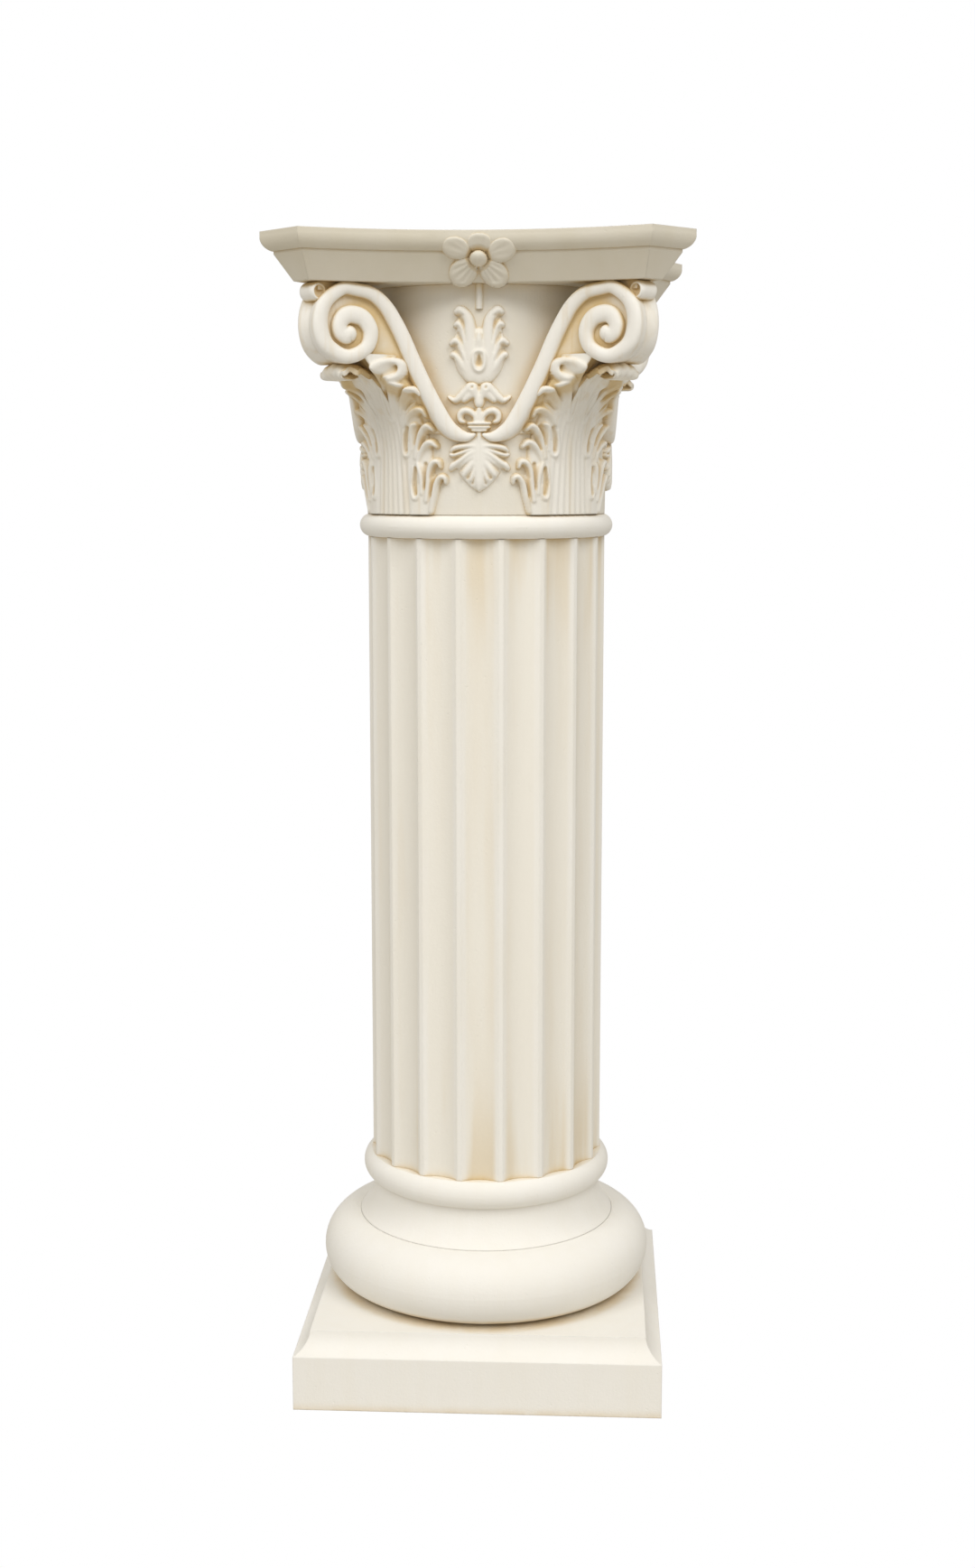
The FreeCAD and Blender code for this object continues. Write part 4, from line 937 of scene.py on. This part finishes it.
LEAF_CUT = [
    [(8.2, 857, 1.3, 5.0), (10.0, 867, 1.8, 6.0), (14.8, 877.5, 1.3, 5.0)],
    [(17.6, 884.4, 1.0, 2.6), (23.0, 888, 1.7, 3.7), (27.0, 891.8, 2.2, 4)],
    [(20.0, 867, 0.9, 2), (26.4, 874.0, 1.2, 3), (31.4, 877.6, 1.3, 3)],
    [(24.0, 859, 0.9, 2), (32.0, 865.6, 1.3, 3.3), (38.6, 867, 1.6, 3.7)],
    [(19.2, 826, 1.3, 5.0), (19.6, 836, 1.8, 6.4), (22.6, 845, 1.3, 5.0)],
    [(28.8, 831, 0.9, 2), (31.6, 840, 1.2, 3), (35.0, 845.4, 1.4, 3.4)],
    [(32.8, 826.4, 0.9, 2), (37.4, 835.4, 1.3, 3.2), (43.4, 838.6, 1.6, 3.7)],
    [(28.4, 790, 1.4, 5.0), (27.0, 799, 1.9, 6.4), (28.2, 811.5, 1.3, 5.0)],
    [(36.8, 794, 0.9, 2), (37.6, 806, 1.3, 3.2), (37.8, 814.4, 1.6, 3.4)],
    [(43.4, 803, 0.9, 2), (46.0, 810.2, 1.4, 3), (48.6, 812.4, 1.3, 2.8)],
    [(42.6, 787, 0.9, 2), (45.0, 799, 1.3, 3.2), (49.8, 808.4, 1.7, 3.7)],
    [(49.4, 790, 1.0, 2.6), (53.0, 798, 1.4, 3.3)],
    [(34.6, 869.6, 1.0, 1.6), (37.8, 870.6, 1.3, 2.4)],
    [(35.4, 853.2, 0.9, 1.3), (39.2, 854.4, 1.2, 2.1)],
    [(40.4, 841.2, 0.9, 1.5), (43.4, 841.4, 1.2, 2.2)],
    [(43.0, 827.8, 0.9, 1.5), (46.2, 827.4, 1.2, 2.2)],
]
LEAF_EDGE = (  # up, across: how far the leaf's body spreads behind its fringe
    (772, 43.5), (786, 45), (800, 49), (812, 44), (826, 44), (843, 39), (854, 36), (870, 35),
    (880, 29), (890, 30), (900, 24),
)
STEM_SIDE = (  # up, across: where the stem's band runs beside the leaf
    (839.3, 64.0), (845.3, 57.0), (856.0, 47.0), (869.1, 39.0), (883.4, 31.5), (898.8, 28.5),
    (904.0, 27.5),
)
LEAF_LOW, LEAF_HIGH = (-67.0, BELL_FOOT_Z + 0.3), (67.0, 903.5)
BLADE_HEIGHT = 3.2
BLADE_LEAST = 0.6
BLADE_SQUARENESS = 10  # the higher, the flatter the blade is out to its edge
LEAF_RIBS = (0.0, 5.4, 10.8, 16.2)  # the grooves between the ribs, from the diagonal
RIB_HEIGHTS, RIB_SPREAD = (772, 850, 886), (1.25, 0.9, 0.62)
RIB_WIDTH, RIB_DEPTH = 1.7, 1.2
TIP_LINE = (  # along the diagonal, up, half width, droop of the edges
    (105.0, 832.0, 9.0, 0.0), (109.5, 846.0, 10.0, 0.0), (115.0, 858.0, 11.2, 0.0),
    (122.0, 870.0, 12.5, 1.0), (130.0, 881.0, 14.0, 3.0), (140.0, 889.5, 15.0, 5.5),
    (152.0, 894.0, 15.5, 6.5), (163.0, 895.0, 15.0, 6.5), (170.0, 892.5, 13.5, 5.0),
    (170.5, 888.0, 12.0, 2.5), (165.0, 885.6, 10.0, 0.8), (156.0, 885.4, 8.0, 0.0),
    (149.0, 887.0, 6.0, 0.0),
)
TIP_RIDGES, RIDGE_HEIGHT = 3.5, 0.7
SCALLOP, SCALLOP_PACE = 0.07, 0.52
TIP_THICKNESS, TIP_ROUND = 4.2, 1.5
# The ground stays behind the hollow face, less so higher up; it flares and fills in beside the tip.
BEHIND_FACE, FACE_GAIN, GAIN_UP = 11.0, 3.5, (830, 898)
FLARE, FLARE_UP, FLARE_POWER = 44.0, (812, 904), 2.4
FILL, FILL_BESIDE, FILL_UP = 14.0, (12, 20), (872, 892)
BLEND = 2.0
WEB_LEAST = 0.5


def climb(value, low, high):
    """From 0 at the low value to 1 at the high one, and level outside them."""
    return np.clip((value - low) / (high - low), 0, 1)


def leaf_ground(across, up):
    """Height over the bell of the ground that flares out behind the leaf to meet the volute."""
    turn = EIGHTH - np.abs(across) / BELL_LIP
    chord = -FACE_AXIS * np.cos(turn)
    face = chord - np.sqrt(np.maximum(chord**2 - FACE_AXIS**2 + FACE_RADIUS**2, 0))
    behind_face = face - bell_radius(up) - BEHIND_FACE + FACE_GAIN * climb(up, *GAIN_UP)
    flare = FLARE * climb(up, *FLARE_UP) ** FLARE_POWER
    flare += FILL * climb(np.abs(across), *FILL_BESIDE) * climb(up, *FILL_UP)
    lower = -BLEND * np.log(np.exp(-behind_face / BLEND) + np.exp(-flare / BLEND))
    return np.maximum(lower, 0.0)


def on_diagonal(along, beside, up):
    """Points of the front left corner, from along and beside its diagonal."""
    root = math.sqrt(0.5)
    return np.stack([(-along + beside) * root, (-along - beside) * root, up], axis=-1)


class COLUMN_OT_acanthus(bpy.types.Operator):
    """Model the acanthus leaves with their curled tips at the corners of the capital"""

    bl_idname = "column.acanthus"
    bl_label = "Model Acanthus Leaves"

    def execute(self, context):
        carving = context.scene.column_carving
        across, up = grid(LEAF_LOW, LEAF_HIGH, carving.grain / MM)
        reach = np.abs(across)
        half = np.interp(up, *zip(*LEAF_EDGE))
        blade = BLADE_HEIGHT * np.clip(1 - (reach / half) ** BLADE_SQUARENESS, 0, None) ** 0.5
        ribs = np.zeros_like(across)
        for place in LEAF_RIBS:
            track = place * np.interp(up, RIB_HEIGHTS, RIB_SPREAD)
            ribs = np.maximum(ribs, np.exp(-(((reach - track) / RIB_WIDTH) ** 2)))
        blade = np.where(blade > 0, np.maximum(blade - ribs * RIB_DEPTH, BLADE_LEAST), 0)
        height, solid = carve(across, up, both_hands(LEAF_FRINGE), both_hands(LEAF_CUT), ground=blade)
        lift = leaf_ground(across, up)
        inside_stem = (up > STEM_SIDE[0][0]) & (reach < np.interp(up, *zip(*STEM_SIDE)))
        web = ~solid & (lift > WEB_LEAST) & inside_stem
        height = np.where(solid, height + lift, np.where(web, lift - WEB_LEAST, 0))
        solid = solid | web
        leaf = relief_object("leaf_blade", across, up, height, solid, corner_seat, carving.sink / MM)
        close_back(leaf, RELIEF_BACK)

        line = smooth_track(TIP_LINE, 6)
        share = np.linspace(-1, 1, 41)
        ridge = np.cos(share * math.pi * TIP_RIDGES) * RIDGE_HEIGHT
        points = []
        for along, high, wide, droop in line:
            wave = math.cos(along * SCALLOP_PACE)
            beside = share * wide * (1 + SCALLOP * wave)
            sag = droop * share**2 * (0.75 + 0.25 * wave)
            points.append(on_diagonal(np.full_like(share, along), beside, high - sag + ridge))
        tip = mesh_object("leaf_tip", np.concatenate(points), sheet_faces(len(line), len(share)))
        apply_modifier(tip, "SOLIDIFY", thickness=TIP_THICKNESS * MM, offset=0.0)
        apply_modifier(tip, "BEVEL", width=TIP_ROUND * MM, segments=2, limit_method="ANGLE")
        whole = join([leaf, tip], "acanthus")
        tidy(whole)
        # The acanthus's ochre in its recesses and on its sunk web is partly painted shade; the small
        # duller tone is painted shade.
        material = plaster_material("plaster_acanthus", 0.5, 0.9, 0.1, 1.5, sunk=(0.835, 0.885))
        set_round(whole, "acanthus", CORNERS, material)
        return {"FINISHED"}


# ---- curls under the top plate's corners
HOOD_PROFILE = (  # radius, beside the diagonal
    (0.0, 5.2), (3.0, 5.6), (4.3, 6.8), (4.9, 8.4), (5.8, 9.2),
    (7.0, 8.6), (7.7, 6.0), (7.6, 3.0), (7.5, 0.0),
)
HOOD_MIDDLE = (189.6, 952.8)
HOOD_STEPS = 48
UNDER_TOP = BELL_TOP_Z - 0.1  # just clear of the top plate
TONGUE_REACH = (150.0, 190.0)  # from the axis, along the diagonal
TONGUE_HALF = 7.5
TONGUE_FOOT = 954.0


class COLUMN_OT_corner_curls(bpy.types.Operator):
    """Model the small rolled leaf tips between the volutes and the top plate"""

    bl_idname = "column.corner_curls"
    bl_label = "Model Corner Curls"

    def execute(self, context):
        half = smooth_track(HOOD_PROFILE, 4)
        profile = np.vstack([half, [(r, -b) for r, b in half[-2::-1]]])
        radius, beside = profile.T
        points = []
        for step in range(HOOD_STEPS):
            angle = 2 * math.pi * step / HOOD_STEPS
            along = HOOD_MIDDLE[0] + radius * math.cos(angle)
            high = np.minimum(HOOD_MIDDLE[1] + radius * math.sin(angle), UNDER_TOP)
            points.append(on_diagonal(along, beside, high))
        count = len(profile)
        faces = []
        for step in range(HOOD_STEPS):
            after = (step + 1) % HOOD_STEPS
            for row in range(count - 1):
                first, second = step * count + row, after * count + row
                faces.append((first, second, second + 1, first + 1))
        roll = mesh_object("corner_curl", np.concatenate(points), faces)
        beside = np.array([-TONGUE_HALF, TONGUE_HALF, TONGUE_HALF, -TONGUE_HALF])
        high = np.array([TONGUE_FOOT, TONGUE_FOOT, UNDER_TOP, UNDER_TOP])
        ends = [on_diagonal(along, beside, high) for along in TONGUE_REACH]
        sides = [(0, 1, 2, 3), (4, 7, 6, 5)]
        sides += [(i, i + 4, (i + 1) % 4 + 4, (i + 1) % 4) for i in range(4)]
        made = join([roll, mesh_object("tongue", np.concatenate(ends), sides)], "corner_curl")
        tidy(made)
        # The ochre laid into the curl's hollow by occlusion is partly painted shade.
        set_round(made, "corner_curl", CORNERS, plaster_material("plaster_corner_curl", 0.3, 1.0))
        return {"FINISHED"}


# ---- studio
LAMPS = (  # name, place, width, height, energy: high soft boxes aimed at the middle of the column
    ("soft_box_right", (2.2, -3.5, 4.7), 3.0, 3.0, 142.0),
    ("soft_box_left", (-2.4, -3.4, 4.7), 3.0, 3.0, 117.0),
)
CAMERA_PLACE = (0.0975, -1.8242, 0.8052)
CAMERA_LENS = 46.81
CAMERA_DOWN = 8.61
CAMERA_LEFT = 3.022
SENSOR_HEIGHT = 36.0
AIM = Vector((0.0, 0.0, 0.55))
FLOOR_SIZE = 3.2
FLOOR_COLOUR = (0.62, 0.60, 0.56, 1.0)
ROOM_COLOUR, ROOM_LIGHT = (1.0, 0.96, 0.89, 1.0), 0.52
WHITE = (1.0, 1.0, 1.0, 1.0)


def white_to_camera(tree, white, lit, output):
    """Shows white to the camera and lets the other shader take part in the light."""
    seen = add_node(tree, "LightPath").outputs["Is Camera Ray"]
    both = add_node(tree, "MixShader", {0: seen, 1: lit.outputs[0], 2: white.outputs[0]})
    tree.links.new(both.outputs[0], add_node(tree, output).inputs[0])


class COLUMN_OT_studio(bpy.types.Operator):
    """Set the pale floor, white surround, soft lamps and camera"""

    bl_idname = "column.studio"
    bl_label = "Set Studio"

    def execute(self, context):
        scene = context.scene
        bpy.ops.mesh.primitive_plane_add(size=FLOOR_SIZE, location=(0.0, 0.0, 0.0))
        floor = context.object
        floor.name = "studio_floor"
        paper = bpy.data.materials.new("studio_white_paper")
        paper.use_nodes = True
        tree = paper.node_tree
        tree.nodes.clear()
        matt = add_node(tree, "BsdfDiffuse", {"Color": FLOOR_COLOUR})
        white = add_node(tree, "Emission", {"Color": WHITE, "Strength": 1.0})
        white_to_camera(tree, white, matt, "OutputMaterial")
        floor.data.materials.append(paper)

        world = bpy.data.worlds.new("studio_white")
        scene.world = world
        world.use_nodes = True
        tree = world.node_tree
        tree.nodes.clear()
        room = add_node(tree, "Background", {"Color": ROOM_COLOUR, "Strength": ROOM_LIGHT})
        white = add_node(tree, "Background", {"Color": WHITE, "Strength": 1.0})
        white_to_camera(tree, white, room, "OutputWorld")

        for name, place, width, height, energy in LAMPS:
            lamp = bpy.data.lights.new(name, "AREA")
            lamp.shape = "RECTANGLE"
            lamp.size = width
            lamp.size_y = height
            lamp.energy = energy
            held = bpy.data.objects.new(name, lamp)
            held.location = place
            held.rotation_euler = (AIM - Vector(place)).to_track_quat("-Z", "Y").to_euler()
            scene.collection.objects.link(held)

        camera = bpy.data.cameras.new("camera")
        camera.sensor_fit = "VERTICAL"
        camera.sensor_height = SENSOR_HEIGHT
        camera.lens = CAMERA_LENS
        held = bpy.data.objects.new("camera", camera)
        held.location = CAMERA_PLACE
        held.rotation_euler = (math.radians(90 - CAMERA_DOWN), 0.0, math.radians(CAMERA_LEFT))
        scene.collection.objects.link(held)
        scene.camera = held
        scene.view_settings.view_transform = "Standard"
        return {"FINISHED"}


class COLUMN_PT_panel(bpy.types.Panel):
    """The column's steps, in the order in which they are run"""

    bl_idname = "COLUMN_PT_panel"
    bl_label = "Pedestal Column"
    bl_space_type = "VIEW_3D"
    bl_region_type = "UI"
    bl_category = "Column"

    def draw(self, context):
        for group in (context.scene.column_carving, context.scene.column_finish):
            box = self.layout.box()
            for key in group.bl_rna.properties.keys():
                if key not in {"rna_type", "name"}:
                    box.prop(group, key)
        for operator in OPERATORS:
            self.layout.operator(operator.bl_idname)


OPERATORS = (
    COLUMN_OT_turned,
    COLUMN_OT_rosettes,
    COLUMN_OT_sprays,
    COLUMN_OT_volutes,
    COLUMN_OT_acanthus,
    COLUMN_OT_corner_curls,
    COLUMN_OT_studio,
)
CLASSES = (ColumnCarving, ColumnFinish, *OPERATORS, COLUMN_PT_panel)


def register():
    for held in CLASSES:
        bpy.utils.register_class(held)
    bpy.types.Scene.column_carving = bpy.props.PointerProperty(type=ColumnCarving)
    bpy.types.Scene.column_finish = bpy.props.PointerProperty(type=ColumnFinish)


def unregister():
    del bpy.types.Scene.column_finish
    del bpy.types.Scene.column_carving
    for held in reversed(CLASSES):
        bpy.utils.unregister_class(held)


def main():
    register()
    bpy.ops.column.turned()
    bpy.ops.column.rosettes()
    bpy.ops.column.sprays()
    bpy.ops.column.volutes()
    bpy.ops.column.acanthus()
    bpy.ops.column.corner_curls()
    bpy.ops.column.studio()


if __name__ == "__main__":
    main()
